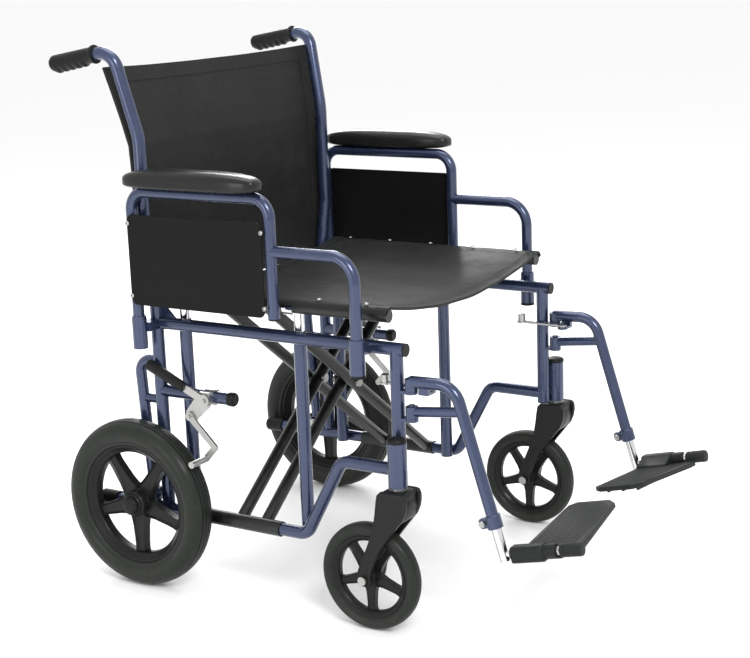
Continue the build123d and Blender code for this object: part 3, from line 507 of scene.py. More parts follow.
def recess(piece, test, margin, depth):       # sinks the picked faces inside a margin
    edit(piece)
    pick(piece, "FACE", test)
    bpy.ops.mesh.inset(thickness=margin, depth=-depth, use_individual=True)
    return done(piece)


def turnedCopy(piece, name, centre, axis, angle):
    twin = copied(piece, name)
    edit(twin)
    bpy.ops.mesh.select_all(action="SELECT")
    bpy.ops.transform.rotate(value=-angle, orient_axis=axis, orient_type="GLOBAL", center_override=centre)
    return done(twin)


def lapped(profile):                          # a half profile and its mirror image, outer edge in the middle
    return profile + [(radius, -along) for radius, along in reversed(profile) if abs(along) > 1e-9]


# tyres: a rounded carcass with a bead at the rim and grooves in the tread
tyreProfile = [
    (0.000, 0.66), (0.030, 0.76), (0.100, 0.82), (0.160, 0.80), (0.200, 0.86), (0.340, 0.97), (0.480, 1.00),
    (0.620, 0.97), (0.740, 0.885), (0.765, 0.862), (0.775, 0.842), (0.798, 0.842), (0.808, 0.835), (0.870, 0.72),
    (0.945, 0.50), (0.955, 0.47), (0.925, 0.455), (0.925, 0.405), (0.970, 0.39), (0.992, 0.22), (0.995, 0.17),
    (0.968, 0.155), (0.968, 0.105), (0.998, 0.09), (1.000, 0.00),
]
rearTyre = {"outer": 0.1524, "inner": 0.1084, "half": 0.027, "steps": 112}
casterTyre = {"outer": 0.0920, "inner": 0.0710, "half": 0.015, "steps": 84}
for size, node, body, label in (
    (rearTyre, "rear_tyre_{}", "rear_wheel_{}", "rearTyre"),
    (casterTyre, "caster_tyre_{}", "caster_wheel_{}", "casterTyre"),
):
    depth = size["outer"] - size["inner"]
    half = [(size["inner"] + depth * t, size["half"] * w) for t, w in tyreProfile]
    centre = spot(node.format("right"))
    piece = turned(label, lapped(half), centre, (1, 0, 0), size["steps"], smooth=40)
    pair(piece, "tyre", body, node)
print("tyres done")


# moulded wheels: rim, hub and five ribbed spokes
rearWheel = {
    "label": "rearWheel", "node": "rear_wheel_{}", "body": "rear_wheel_{}", "count": 5, "steps": 96,
    "rim": [(0.1083, 0.0178), (0.1072, 0.0182), (0.1045, 0.0180), (0.1015, 0.0150), (0.0985, 0.0118),
            (0.0958, 0.0098), (0.0940, 0.0080), (0.0934, 0.0050), (0.0934, 0.0)],
    "hub": [(0.0090, 0.0148), (0.0142, 0.0148), (0.0142, 0.0240), (0.0150, 0.0250), (0.0185, 0.0250), (0.0196, 0.0238),
            (0.0205, 0.0205), (0.0232, 0.0185), (0.0240, 0.0170), (0.0240, 0.0)],
    "spoke": {"root": 0.0150, "tip": 0.0085, "start": 0.0195, "end": 0.0985, "half": 0.0082, "lip": 0.0032, "sink": 0.0046},
}
casterWheel = {
    "label": "casterWheel", "node": "caster_wheel_{}", "body": "caster_wheel_{}", "count": 5, "steps": 72,
    "rim": [(0.0709, 0.0118), (0.0702, 0.0121), (0.0680, 0.0118), (0.0655, 0.0095), (0.0630, 0.0072),
            (0.0614, 0.0055), (0.0610, 0.0035), (0.0610, 0.0)],
    "hub": [(0.0060, 0.0088), (0.0096, 0.0088), (0.0096, 0.0153), (0.0102, 0.0160), (0.0128, 0.0160), (0.0136, 0.0150),
            (0.0144, 0.0125), (0.0150, 0.0110), (0.0150, 0.0)],
    "spoke": {"root": 0.0095, "tip": 0.0058, "start": 0.0120, "end": 0.0640, "half": 0.0058, "lip": 0.0024, "sink": 0.0030},
}


def spokedWheel(size):
    centre = spot(size["node"].format("right"))
    arm = size["spoke"]
    rim = turned("rim", lapped(size["rim"]), centre, (1, 0, 0), size["steps"], smooth=40)
    hub = turned("hub", lapped(size["hub"]), centre, (1, 0, 0), 48, smooth=40)
    outline = []
    for way in (-1, 1):
        run = []
        for step in range(7):
            t = step / 6
            width = arm["root"] + (arm["tip"] - arm["root"]) * t
            width += 0.004 * (1 - smoothstep(0, 0.28, t)) + 0.0035 * smoothstep(0.78, 1, t)
            run.append((-arm["half"], way * width, -(arm["start"] + (arm["end"] - arm["start"]) * t)))
        outline += run if way < 0 else run[::-1]
    first = plate("spoke", [centre + Vector(p) for p in outline], (arm["half"] * 2, 0, 0), 0, smooth=38)
    recess(first, lambda f: abs(f.normal.x) > 0.9, arm["lip"], arm["sink"])
    modify(first, "BEVEL", width=0.0008, segments=2, limit_method="ANGLE", angle_limit=radians(50))
    spokes = [first]
    for index in range(1, size["count"]):
        spokes.append(turnedCopy(first, "spoke", centre, "X", 2 * pi / size["count"] * index))
    whole = joined(size["label"], [rim, hub] + spokes)
    settle(whole, 38, merge=1e-7, outward=False)
    return pair(whole, "wheel_plastic", size["body"], size["node"])


spokedWheel(rearWheel)
spokedWheel(casterWheel)
print("wheels done")


# rear axle: grey cap outside, nut and washer inside the boss, bearings in the hub
axle = {"bolt": 0.0060, "capLength": 0.009, "bearing": 0.0140, "nut": 0.009, "nutDeep": 0.007}
axleLow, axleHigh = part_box("rear_axle_right")
hubMiddle = spot("rear_wheel_right")
capFace = axleLow.x
capRoot = capFace + axle["capLength"]
profile = [(0.0, 0.0), (0.0060, 0.0002), (0.0115, 0.0010), (0.0145, 0.0024), (0.0162, 0.0046), (0.0168, 0.0070),
           (0.0170, 0.0086), (0.0160, 0.0090), (0.0, 0.0090)]
hubCap = turned("hubCap", profile, (capFace, hubMiddle.y, hubMiddle.z), (1, 0, 0), 48, closed=False, smooth=38)
pair(hubCap, "black_plastic", "{}_frame", "rear_axle_{}")
bolt = turned("bolt", [(0.0, 0.0), (axle["bolt"], 0.0), (axle["bolt"], axleHigh.x - capRoot - 0.001),
                       (axle["bolt"] - 0.001, axleHigh.x - capRoot), (0.0, axleHigh.x - capRoot)],
              (capRoot, hubMiddle.y, hubMiddle.z), (1, 0, 0), 24, closed=False)
nutStart = axleHigh.x - 0.002 - axle["nutDeep"]
nutRing = [(nutStart, hubMiddle.y + axle["nut"] * cos(a), hubMiddle.z + axle["nut"] * sin(a)) for a in
           (pi / 3 * k for k in range(6))]
nut = plate("nut", nutRing, (axle["nutDeep"], 0, 0), 0.0008)
washer = turned("washer", [(0.0062, 0), (0.0108, 0), (0.0108, 0.0012), (0.0062, 0.0012)],
                (nutStart - 0.0012, hubMiddle.y, hubMiddle.z), (1, 0, 0), 32)
rings = []
for side in (-1, 1):
    face = hubMiddle.x + side * 0.0146
    ring = [(0.0060, 0), (0.0092, 0), (0.0094, 0.0006), (0.0112, 0.0006), (0.0114, 0), (0.0140, 0), (0.0140, 0.009),
            (0.0060, 0.009)]
    rings.append(turned("bearing", [(r, a * side) for r, a in ring][::side], (face, hubMiddle.y, hubMiddle.z), (1, 0, 0), 32))
axleSet = joined("rearAxle", [bolt, nut, washer] + rings)
settle(axleSet, 35, merge=1e-7, outward=False)
pair(axleSet, "zinc_steel", "{}_frame", "rear_axle_{}")
print("axles done")


def looseSpots(node):                         # the middle and size of each separate solid of a CAD node
    shape = bmesh.new()
    shape.from_mesh(nodes[node].data)
    bmesh.ops.remove_doubles(shape, verts=shape.verts, dist=1e-6)
    waiting, spots = set(shape.verts), []
    while waiting:
        front = [waiting.pop()]
        found = []
        while front:
            vertex = front.pop()
            found.append(vertex.co.copy())
            for edge in vertex.link_edges:
                other = edge.other_vert(vertex)
                if other in waiting:
                    waiting.discard(other)
                    front.append(other)
        low = Vector([min(p[k] for p in found) for k in range(3)])
        high = Vector([max(p[k] for p in found) for k in range(3)])
        spots.append(((low + high) / 2, high - low))
    shape.free()
    return sorted(spots, key=lambda item: tuple(round(c, 5) for c in item[0]))


# domed screw heads with a cross recess
screw = {"radius": 0.0041, "dome": 0.0026, "slot": 0.0009, "slotLong": 0.0048}


def screwHead(name, foot, axis):
    r, h = screw["radius"], screw["dome"]
    profile = [(0.0, 0.0), (r, 0.0), (r * 1.02, h * 0.18), (r * 0.93, h * 0.52), (r * 0.72, h * 0.82), (r * 0.36, h), (0.0, h)]
    head = turned(name, profile, foot, axis, 20, closed=False, smooth=50)
    axis = Vector(axis)
    side = axis.orthogonal().normalized()
    bars = []
    for across in (side, axis.cross(side)):
        other = axis.cross(across)
        long, thin = screw["slotLong"] / 2, screw["slot"] / 2
        ring = [Vector(foot) + axis * (h * 0.45) + across * a + other * b for a, b in
                ((-long, -thin), (long, -thin), (long, thin), (-long, thin))]
        bars.append(plate("slot", ring, axis * h))
    for cutter in bars:
        modify(head, "BOOLEAN", operation="DIFFERENCE", object=cutter, solver="EXACT")
        bpy.data.objects.remove(cutter)
    return head


def screwSet(label, node, axis, sink, pickSpot=lambda size: True, split=0.0, shift=0.0):
    axis = Vector(axis)
    first, heads = None, []
    for middle, size in looseSpots(node):
        if not pickSpot(size):
            continue
        foot = middle - axis * sink + Vector((0, shift if middle.y < split else 0, 0))
        if first is None:
            first, home = screwHead("screw", foot, axis), foot
            heads.append(first)
        else:
            heads.append(copied(first, "screw", foot - home))
    whole = joined(label, heads)
    settle(whole, 50, merge=1e-7, outward=False)
    return whole


for label, node, axis, body in (
    ("seatScrews", "seat_screws_{}", (0, 0, 1), "guide_posts_{}"),
    ("backScrews", "back_screws_{}", (0, 1, 0), "{}_frame"),
):
    pair(screwSet(label, node.format("right"), axis, 0.0016), "zinc_steel", body, node)
armScrews = screwSet("armScrews", "arm_screws_right", (-1, 0, 0), 0.0010, lambda size: size.x < 0.004,
                     0.2, 0.003)
pair(armScrews, "zinc_steel", "armrest_{}", "arm_screws_{}")
for middle, size in looseSpots("arm_screws_right"):
    if size.x > 0.004:
        foot = middle - Vector((0, 0, size.z / 2))
        r = size.x / 2
        profile = [(0.0, 0.0), (r - 0.0015, 0.0), (r, 0.0012), (r, 0.003), (r - 0.0018, 0.003), (r - 0.0018, size.z),
                   (0.0, size.z)]
        pair(turned("armFoot", profile, foot, (0, 0, 1), 32, closed=False), "black_plastic", "armrest_{}", "arm_screws_{}")
print("screws done")


# side panels: thin sheet with rounded corners and a rolled edge
panel = {"corner": 0.012, "edge": 0.0009, "bead": 0.010, "beadDeep": 0.0006}


def roundedRing(x, low, high, corner, steps=8):
    ring = []
    for cy, cz, start in ((high.y - corner, high.z - corner, 0), (low.y + corner, high.z - corner, 1),
                          (low.y + corner, low.z + corner, 2), (high.y - corner, low.z + corner, 3)):
        for step in range(steps + 1):
            a = pi / 2 * (start + step / steps)
            ring.append(Vector((x, cy + corner * cos(a), cz + corner * sin(a))))
    return ring


panelLow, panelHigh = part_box("side_panel_right")
panelLow, panelHigh = panelLow + Vector((0, 0.003, 0)), panelHigh - Vector((0, 0.003, 0))
sidePanel = plate("sidePanel", roundedRing(panelLow.x, panelLow, panelHigh, panel["corner"]), (panelHigh.x - panelLow.x, 0, 0))
recess(sidePanel, lambda f: abs(f.normal.x) > 0.9, panel["bead"], panel["beadDeep"])
modify(sidePanel, "BEVEL", width=panel["edge"], segments=2, limit_method="ANGLE", angle_limit=radians(40))
settle(sidePanel, 30, outward=False)
pair(sidePanel, "panel_plastic", "armrest_{}", "side_panel_{}")
print("panels done")


# arm pads: moulded skinned foam with a domed top, rounded ends and a moulded line above the backing
pad = {
    "round": 0.52, "top": 2.9, "under": 5.5, "middle": 0.36, "nose": 0.10, "around": 96, "levels": 44,
    "line": 0.30, "lineDeep": 0.0016, "lineWide": 0.0016,
}
padLow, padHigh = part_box("arm_pad_right")


def padPiece():
    middle, half = (padLow + padHigh) / 2, (padHigh - padLow) / 2
    tall = padHigh.z - padLow.z
    beltZ = padLow.z + tall * pad["middle"]
    clearSelection()
    bpy.ops.mesh.primitive_uv_sphere_add(segments=pad["around"], ring_count=pad["levels"], radius=1, location=(0, 0, 0))
    piece = bpy.context.object
    piece.name = "armPad"

    def shaped(co):
        flat = hypot(co.x, co.y)
        power = pad["top"] if co.z > 0 else pad["under"]
        level = abs(co.z) ** (2 / power)
        inward = max(flat, 0.0) ** (2 / power) if flat > 1e-6 else 0.0
        around = atan2(co.y, co.x)
        dx, dy = cos(around), sin(around)
        wayX, wayY = (1 if dx > 0 else -1), (1 if dy > 0 else -1)
        edge = Vector((half.x * abs(dx) ** pad["round"] * wayX, half.y * abs(dy) ** pad["round"] * wayY))
        edge.x = edge.x * (1 - pad["nose"] * max(-edge.y / half.y, 0) ** 3)
        if co.z > 0:
            z = beltZ + (padHigh.z - beltZ) * level
        else:
            z = beltZ - (beltZ - padLow.z) * level
        lineZ = padLow.z + tall * pad["line"]
        groove = pad["lineDeep"] * exp(-((z - lineZ) / pad["lineWide"]) ** 2) if flat > 0.3 else 0
        spotXY = edge * inward
        if spotXY.length > 1e-6:
            spotXY = spotXY * (1 - groove / edge.length * 1.4)
        return Vector((middle.x + spotXY.x, middle.y + spotXY.y, z))

    reshape(piece, shaped)
    modify(piece, "SMOOTH", factor=0.5, iterations=3)
    return settle(piece, 60)


armPad = padPiece()
for one in pair(armPad, "arm_pad", "armrest_{}", "arm_pad_{}"):
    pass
print("pads done")


# cloth of the seat and back: one bent sheet each, with hems, sewn seams and a little slack

def stretched(name, across, along, rule, thick, flat):    # a grid of cloth laid out flat, then bent by a rule of (u, v)
    clearSelection()
    bpy.ops.mesh.primitive_grid_add(x_subdivisions=across, y_subdivisions=along, size=1, location=(0.5, 0.5, 0))
    piece = bpy.context.object
    piece.name = name
    bpy.ops.object.transform_apply(location=True, rotation=True, scale=True)
    layer = piece.data.uv_layers.new(name="weave")
    spots = [vertex.co.copy() for vertex in piece.data.vertices]
    for loop in piece.data.loops:
        u, v, _ = spots[loop.vertex_index]
        layer.data[loop.index].uv = (u * flat[0], v * flat[1])
    for old in [one.name for one in piece.data.uv_layers if one.name != "weave"]:
        piece.data.uv_layers.remove(piece.data.uv_layers[old])
    reshape(piece, lambda co: rule(co.x, co.y))
    modify(piece, "SOLIDIFY", thickness=thick, offset=0.0, use_even_offset=True)
    takeUp(piece)
    bpy.ops.object.shade_smooth_by_angle(angle=radians(50))
    return piece


def stitches(name, points, pitch, long, radius):  # a row of thread ends along a line
    clearSelection()
    bpy.ops.mesh.primitive_uv_sphere_add(segments=6, ring_count=4, radius=1, location=(0, 0, 0))
    thread = bpy.context.object
    edit(thread)
    bpy.ops.mesh.select_all(action="SELECT")
    bpy.ops.transform.resize(value=(long / 2, radius, radius), center_override=(0, 0, 0))
    done(thread)
    rows, walked, due = [], 0.0, pitch / 2
    for here, there in zip(points, points[1:]):
        here, there = Vector(here), Vector(there)
        span = (there - here).length
        while due <= walked + span:
            rows.append((here.lerp(there, (due - walked) / span), (there - here).normalized()))
            due += pitch
        walked += span
    copies = []
    for place, way in rows:
        twin = thread.copy()
        twin.data = thread.data.copy()
        bpy.context.scene.collection.objects.link(twin)
        twin.matrix_world = Matrix.Translation(place) @ way.to_track_quat("X", "Z").to_matrix().to_4x4()
        copies.append(twin)
    bpy.data.objects.remove(thread)
    whole = joined(name, copies)
    takeUp(whole)
    bpy.ops.object.transform_apply(location=True, rotation=True, scale=True)
    bpy.ops.object.shade_smooth()
    return whole


# seat sling: sags between the rails and wraps over them, pulled into shallow dimples by its screws
seat = {
    "thick": 0.0030, "sag": 0.0245, "wrapEnd": 16, "hem": 0.022, "hemThick": 0.0052, "wave": 0.0016,
    "dimple": 0.0010, "across": 116, "along": 92,
}
seatLow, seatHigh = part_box("seat_upholstery")
railX, railZ = 0.262, 0.528
wrapR = 0.0109 + 0.0006 + seat["thick"] / 2
edgeZ = railZ + wrapR
wrapAngle = radians(90 - seat["wrapEnd"])
wrapLong = wrapR * wrapAngle
seatDeep = seatHigh.y - seatLow.y
seatFlat = (2 * (railX + wrapLong) + 0.004, seatDeep)
seatScrewSpots = [middle for middle, size in looseSpots("seat_screws_right")] + [
    middle for middle, size in looseSpots("seat_screws_left")]


def seatPlace(u, v, lift=0.0):
    run = (u - 0.5) * 2 * (railX + wrapLong)
    side = 1 if run > 0 else -1
    y = seatLow.y + v * seatDeep
    reach = abs(run)
    front = smoothstep(0.13, 0.0, v)          # the front edge rolls down a little
    if reach <= railX:
        t = reach / railX
        slack = 1 - t * t
        z = edgeZ - seat["sag"] * slack * (1 + 0.10 * front)
        ripple = sin(run * 31 + y * 9) * sin(y * 23 - run * 7) + 0.6 * sin(run * 58 - y * 17 + 1.3)
        z += seat["wave"] * ripple * slack * (0.45 + 0.55 * smoothstep(0.2, 0.9, t))
        crease = exp(-((y - seatLow.y - 0.055 - 0.16 * (1 - t)) / 0.018) ** 2) * smoothstep(0.35, 0.8, t)
        z += 0.0022 * crease * slack
        z -= 0.0045 * front * front * slack
        x = side * reach
        out = Vector((0, 0, 1))
    else:
        a = (reach - railX) / wrapR
        x = side * (railX + wrapR * sin(a))
        z = railZ + wrapR * cos(a)
        out = Vector((side * sin(a), 0, cos(a)))
    for screwSpot in seatScrewSpots:
        away = hypot(x - screwSpot.x, y - screwSpot.y)
        z -= seat["dimple"] * exp(-(away / 0.011) ** 2)
    return Vector((x, y, z)) + out * lift


sling = stretched("seatSling", seat["across"], seat["along"], seatPlace, seat["thick"], seatFlat)
hemShare = seat["hem"] / seatDeep
hems = []
for start, end in ((0.0, hemShare), (1 - hemShare, 1.0)):
    hems.append(stretched("hem", seat["across"], 7, lambda u, v, a=start, b=end: seatPlace(u, a + (b - a) * v, 0.0),
                          seat["hemThick"], (seatFlat[0], seat["hem"])))
sling = joined("seatSling", [sling] + hems)
wear(sling, "seat_cloth")
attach(sling, "guide_posts_right")
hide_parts("seat_upholstery")
rows = []
for v in (hemShare * 0.86, hemShare * 0.60, 1 - hemShare * 0.60, 1 - hemShare * 0.86):
    line = [seatPlace(0.02 + 0.96 * k / 90, v, seat["hemThick"] / 2 + 0.0002) for k in range(91)]
    rows.append(stitches("row", line, 0.0050, 0.0034, 0.00042))
for u in (0.062, 0.938):
    line = [seatPlace(u, hemShare + (1 - 2 * hemShare) * k / 70, seat["thick"] / 2 + 0.0002) for k in range(71)]
    rows.append(stitches("row", line, 0.0050, 0.0034, 0.00042))
seatThread = joined("seatThread", rows)
threadFinish = mouldedPlastic("thread", (0.030, 0.031, 0.030), (0.055, 0.056, 0.054), 0.62, 2400, 0.0001, 0.0, 0.1)
wear(seatThread, "seat_cloth", threadFinish)
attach(seatThread, "guide_posts_right")
print("seat sling laid")


# back sling: hangs behind the canes, follows their bend and bows back a little under its own slack
back = {
    "thick": 0.0030, "bow": 0.013, "wave": 0.0016, "hem": 0.026, "hemThick": 0.0052, "sideFold": 0.030,
    "across": 104, "along": 96,
}
backLow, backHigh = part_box("back_upholstery")


def backEdge(z):                              # half width and the front face of the CAD sling at this height
    table = ((0.505, 0.274, 0.0), (0.600, 0.286, 0.0002), (0.786, 0.286, 0.0006), (0.922, 0.305, 0.0331))
    for low, high in zip(table, table[1:]):
        if z <= high[0]:
            t = min(max((z - low[0]) / (high[0] - low[0]), 0), 1)
            return low[1] + (high[1] - low[1]) * t, low[2] + (high[2] - low[2]) * t
    return table[-1][1], table[-1][2]


backTall = backHigh.z - backLow.z
backFlat = (0.600, backTall + 0.006)


def backPlace(u, v, lift=0.0):
    z = backLow.z + 0.001 + v * (backTall - 0.002)
    half, lean = backEdge(z)
    half -= 0.002
    side = (u - 0.5) * 2
    taut = 1 - abs(side) ** 2.4
    bend = 0.0022 * exp(-((z - 0.786) / 0.030) ** 2)
    y = backLow.y + back["thick"] / 2 + 0.0004 + lean + bend
    y += back["bow"] * taut * (0.55 + 0.45 * sin(pi * min(max(v, 0), 1)))
    x = side * half
    ripple = sin(x * 26 + z * 11) * sin(z * 19 - x * 6 + 0.7) + 0.5 * sin(x * 47 - z * 14 + 2.1)
    y += back["wave"] * ripple * taut
    y += 0.0020 * exp(-((z - 0.56 - 0.13 * abs(side)) / 0.022) ** 2) * taut
    z -= 0.010 * taut * smoothstep(0.80, 1.0, v) * 0.6
    return Vector((x, y + lift, z))


backSling = stretched("backSling", back["across"], back["along"], backPlace, back["thick"], backFlat)
topShare = back["hem"] / backTall
bands = []
for start, end in ((0.0, topShare), (1 - topShare, 1.0)):
    bands.append(stretched("hem", back["across"], 7, lambda u, v, a=start, b=end: backPlace(u, a + (b - a) * v, 0.0),
                           back["hemThick"], (backFlat[0], back["hem"])))
foldShare = back["sideFold"] / 0.58
for start, end in ((0.0, foldShare), (1 - foldShare, 1.0)):
    bands.append(stretched("fold", 8, back["along"], lambda u, v, a=start, b=end: backPlace(a + (b - a) * u, v, 0.0),
                           back["hemThick"] - 0.0006, (back["sideFold"], backFlat[1])))
backSling = joined("backSling", [backSling] + bands)
wear(backSling, "seat_cloth")
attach(backSling, "right_frame")
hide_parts("back_upholstery")
rows = []
for v in (topShare * 0.85, topShare * 0.55, 1 - topShare * 0.55, 1 - topShare * 0.85):
    for face in (-1, 1):
        line = [backPlace(0.02 + 0.96 * k / 80, v, face * (back["hemThick"] / 2 + 0.0001)) for k in range(81)]
        rows.append(stitches("row", line, 0.0050, 0.0034, 0.00042))
for u in (foldShare * 0.88, 1 - foldShare * 0.88):
    for face in (-1, 1):
        line = [backPlace(u, topShare + (1 - 2 * topShare) * k / 70, face * (back["hemThick"] / 2 - 0.0002)) for k in range(71)]
        rows.append(stitches("row", line, 0.0050, 0.0034, 0.00042))
backThread = joined("backThread", rows)
wear(backThread, "seat_cloth", threadFinish)
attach(backThread, "right_frame")
print("back sling laid")

for one in (sling, seatThread, backSling, backThread):
    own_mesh(one)


# push grips: flange at the front, smooth on top, finger bumps underneath, domed end
grip = {
    "corner": (-0.294, 0.35143, 0.949), "drop": 10, "start": 0.036, "long": 0.1010, "radius": 0.0136, "swell": 0.0010,
    "flange": 0.0163, "flangeLong": 0.0050, "bumps": 5, "bumpFrom": 0.020, "bumpTo": 0.094, "bumpDeep": 0.0036,
    "bore": 0.0114,
}
gripCorner = Vector(grip["corner"])
gripAxis = Vector((0, cos(radians(grip["drop"])), -sin(radians(grip["drop"]))))
gripDown = Vector((0, -sin(radians(grip["drop"])), -cos(radians(grip["drop"]))))
profile = [(grip["bore"], 0.0), (grip["flange"] - 0.0010, 0.0), (grip["flange"], 0.0010),
           (grip["flange"], grip["flangeLong"] - 0.0012), (grip["flange"] - 0.0010, grip["flangeLong"]),
           (grip["radius"] + 0.0006, grip["flangeLong"] + 0.0012)]
for step in range(1, 47):
    along = grip["flangeLong"] + 0.0012 + (grip["long"] - grip["flangeLong"] - 0.0082) * step / 46
    profile.append((grip["radius"] + grip["swell"] * along / grip["long"], along))
for step in range(1, 9):
    a = pi / 2 * step / 8
    endR = grip["radius"] + grip["swell"]
    rounded = endR - 0.0068 * (1 - cos(a)) - (endR - 0.0068) * max(0, step - 6) / 2
    profile.append((max(endR * cos(a) if step == 8 else rounded, 0.0),
                    grip["long"] - 0.007 + 0.007 * sin(a)))
pushGrip = turned("pushGrip", profile, gripCorner + gripAxis * grip["start"], gripAxis, 64, closed=False, smooth=60)


def fingered(co):
    offset = co - gripCorner
    along = offset.dot(gripAxis) - grip["start"]
    radial = offset - gripAxis * offset.dot(gripAxis)
    if radial.length < grip["radius"] * 0.9 or not grip["bumpFrom"] < along < grip["bumpTo"]:
        return co
    under = max(radial.normalized().dot(gripDown), 0) ** 1.4
    share = (along - grip["bumpFrom"]) / (grip["bumpTo"] - grip["bumpFrom"])
    wave = abs(sin(pi * grip["bumps"] * share)) ** 0.75
    ease = smoothstep(0, 0.06, share) * smoothstep(1, 0.94, share)
    return co + radial.normalized() * (grip["bumpDeep"] * wave * under * ease)


reshape(pushGrip, fingered)
pair(pushGrip, "grip_rubber", "{}_frame", "push_grip_{}")
print("grips done")


# caster forks: two curved blades under a rounded crown, moulded in one
fork = {
    "blade": [(-20, 249), (-25, 247), (-28, 241), (-28.5, 231), (-26.5, 219), (-21, 206), (-8, 190), (8, 170), (23, 150),
              (34.5, 130), (41, 112), (44, 97), (46, 88), (51, 82), (57, 80), (63, 82), (68, 88), (70, 98), (66.5, 110),
              (58, 130), (49, 150), (41, 170), (35, 188), (31, 210), (28.5, 230), (26, 243), (20, 249)],
    "thick": 0.009, "gap": 0.0185, "edge": 0.0022, "margin": 0.0042, "sink": 0.0014,
    "crownY": (-0.0235, 0.0215), "crownZ": (0.2135, 0.2488), "crownEdge": 0.0050,
}
stemSpot = spot("stem_bearings_right")
forkLow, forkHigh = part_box("caster_fork_right")
forkX = (forkLow.x + forkHigh.x) / 2
blades = []
for side in (-1, 1):
    start = forkX + side * fork["gap"]
    ring = [(start, stemSpot.y + y / 1000, z / 1000) for y, z in fork["blade"]]
    blade = plate("blade", ring, (side * fork["thick"], 0, 0))
    recess(blade, lambda f, s=side: f.normal.x * s > 0.9, fork["margin"], fork["sink"])
    modify(blade, "BEVEL", width=fork["edge"], segments=3, limit_method="ANGLE", angle_limit=radians(48))
    blades.append(blade)
crown = block("crown", (forkX - fork["gap"] - 0.004, stemSpot.y + fork["crownY"][0], fork["crownZ"][0]),
              (forkX + fork["gap"] + 0.004, stemSpot.y + fork["crownY"][1], fork["crownZ"][1]), fork["crownEdge"], 4)
apron = plate("apron", [(forkX - fork["gap"] - 0.003, stemSpot.y + y, z) for y, z in
                        ((-0.0235, 0.236), (-0.0250, 0.222), (-0.0205, 0.2055), (-0.0150, 0.1985), (-0.0125, 0.2015),
                         (-0.0165, 0.2120), (-0.0170, 0.2300))], (2 * fork["gap"] + 0.006, 0, 0), 0.0010)
washer = turned("washer", [(0.0062, 0), (0.0150, 0), (0.0158, 0.0008), (0.0158, 0.0016), (0.0062, 0.0016)],
                (forkX, stemSpot.y, 0.249), (0, 0, 1), 40)
whole = joined("casterFork", blades + [crown, apron])
settle(whole, 40, merge=1e-7, outward=False)
pair(whole, "wheel_plastic", "caster_fork_{}", "caster_fork_{}")
washer.name = "stemWasher"
pair(washer, "zinc_steel", "caster_fork_{}")
print("forks done")


# caster housing: black cap on top, bearing faces in its ends
housing = {"radius": 0.0160, "low": 0.254, "high": 0.328}
capProfile = [(0.0, -0.002), (0.0128, -0.002), (0.0128, 0.0), (0.0158, 0.0), (0.0164, 0.0010), (0.0164, 0.0042),
              (0.0148, 0.0066), (0.0110, 0.0080), (0.0, 0.0086)]
cap = turned("housingCap", capProfile, (stemSpot.x, stemSpot.y, housing["high"]), (0, 0, 1), 40, closed=False, smooth=45)
pair(cap, "black_plastic", "{}_frame", "stem_bearings_{}")
rings = []
for z, way in ((housing["low"], 1), (housing["high"] - 0.006, -1)):
    ring = [(0.0064, 0.0), (0.0088, 0.0), (0.0090, 0.0006), (0.0104, 0.0006), (0.0106, 0.0), (0.0130, 0.0), (0.0130, 0.0085),
            (0.0064, 0.0085)]
    rings.append(turned("race", [(r, a * way) for r, a in ring][::way], (stemSpot.x, stemSpot.y, z), (0, 0, 1), 32))
races = joined("stemRaces", rings)
settle(races, 35, merge=1e-7, outward=False)
pair(races, "zinc_steel", "{}_frame", "stem_bearings_{}")
print("housings done")


# hanger foot: painted split collar with a plated pinch bolt
slopeTan = 0.309542                           # lean of the hanger's sloping tube
collar = {"radius": 0.0127, "bore": 0.0101, "tall": 0.022, "earLong": 0.0165, "earTall": 0.017, "bolt": 0.0031}
legAxis = Vector((0, slopeTan, 1)).normalized()
legSide = Vector((0, 1, -slopeTan)).normalized()


def slopeY(z):                                # the sloping tube's middle at this height
    return (-271.0 - (426.0 - z * 1000) * slopeTan - 7.6) / 1000


legX = -railX
collarFoot = Vector((legX, slopeY(0.201), 0.201))
ringProfile = [(collar["bore"], 0.0), (collar["radius"] - 0.0008, 0.0), (collar["radius"], 0.0008),
               (collar["radius"], collar["tall"] - 0.0008), (collar["radius"] - 0.0008, collar["tall"]),
               (collar["bore"], collar["tall"])]
ring = turned("collar", ringProfile, collarFoot, legAxis, 44, smooth=40)
ears = []
for side in (-1, 1):
    x = legX + side * 0.0012
    base = collarFoot + legAxis * 0.0025
    tall = legAxis * collar["earTall"]
    start, end = legSide * 0.0095, legSide * (0.0095 + collar["earLong"])
    tip = legSide * 0.0035
    points = [base + start, base + end - tip, base + end + tall * 0.18, base + end + tall * 0.82,
              base + end - tip + tall, base + start + tall]
    ears.append(plate("ear", [Vector((x, p.y, p.z)) for p in points], (side * 0.0030, 0, 0), 0.0006))
collarPiece = joined("hangerCollar", [ring] + ears)
settle(collarPiece, 38, merge=1e-7, outward=False)
pair(collarPiece, "frame_paint", "hanger_{}", "hanger_clamp_{}")
boltSpot = collarFoot + legAxis * (collar["tall"] / 2) + legSide * 0.0190


def hexBolt(name, foot, axis, across, tall, soften=0.0006):
    foot, axis = Vector(foot), Vector(axis).normalized()
    side = axis.orthogonal().normalized()
    other = axis.cross(side)
    ring = [foot + side * (across * cos(pi / 3 * k)) + other * (across * sin(pi / 3 * k)) for k in range(6)]
    return plate(name, ring, axis * tall, soften)


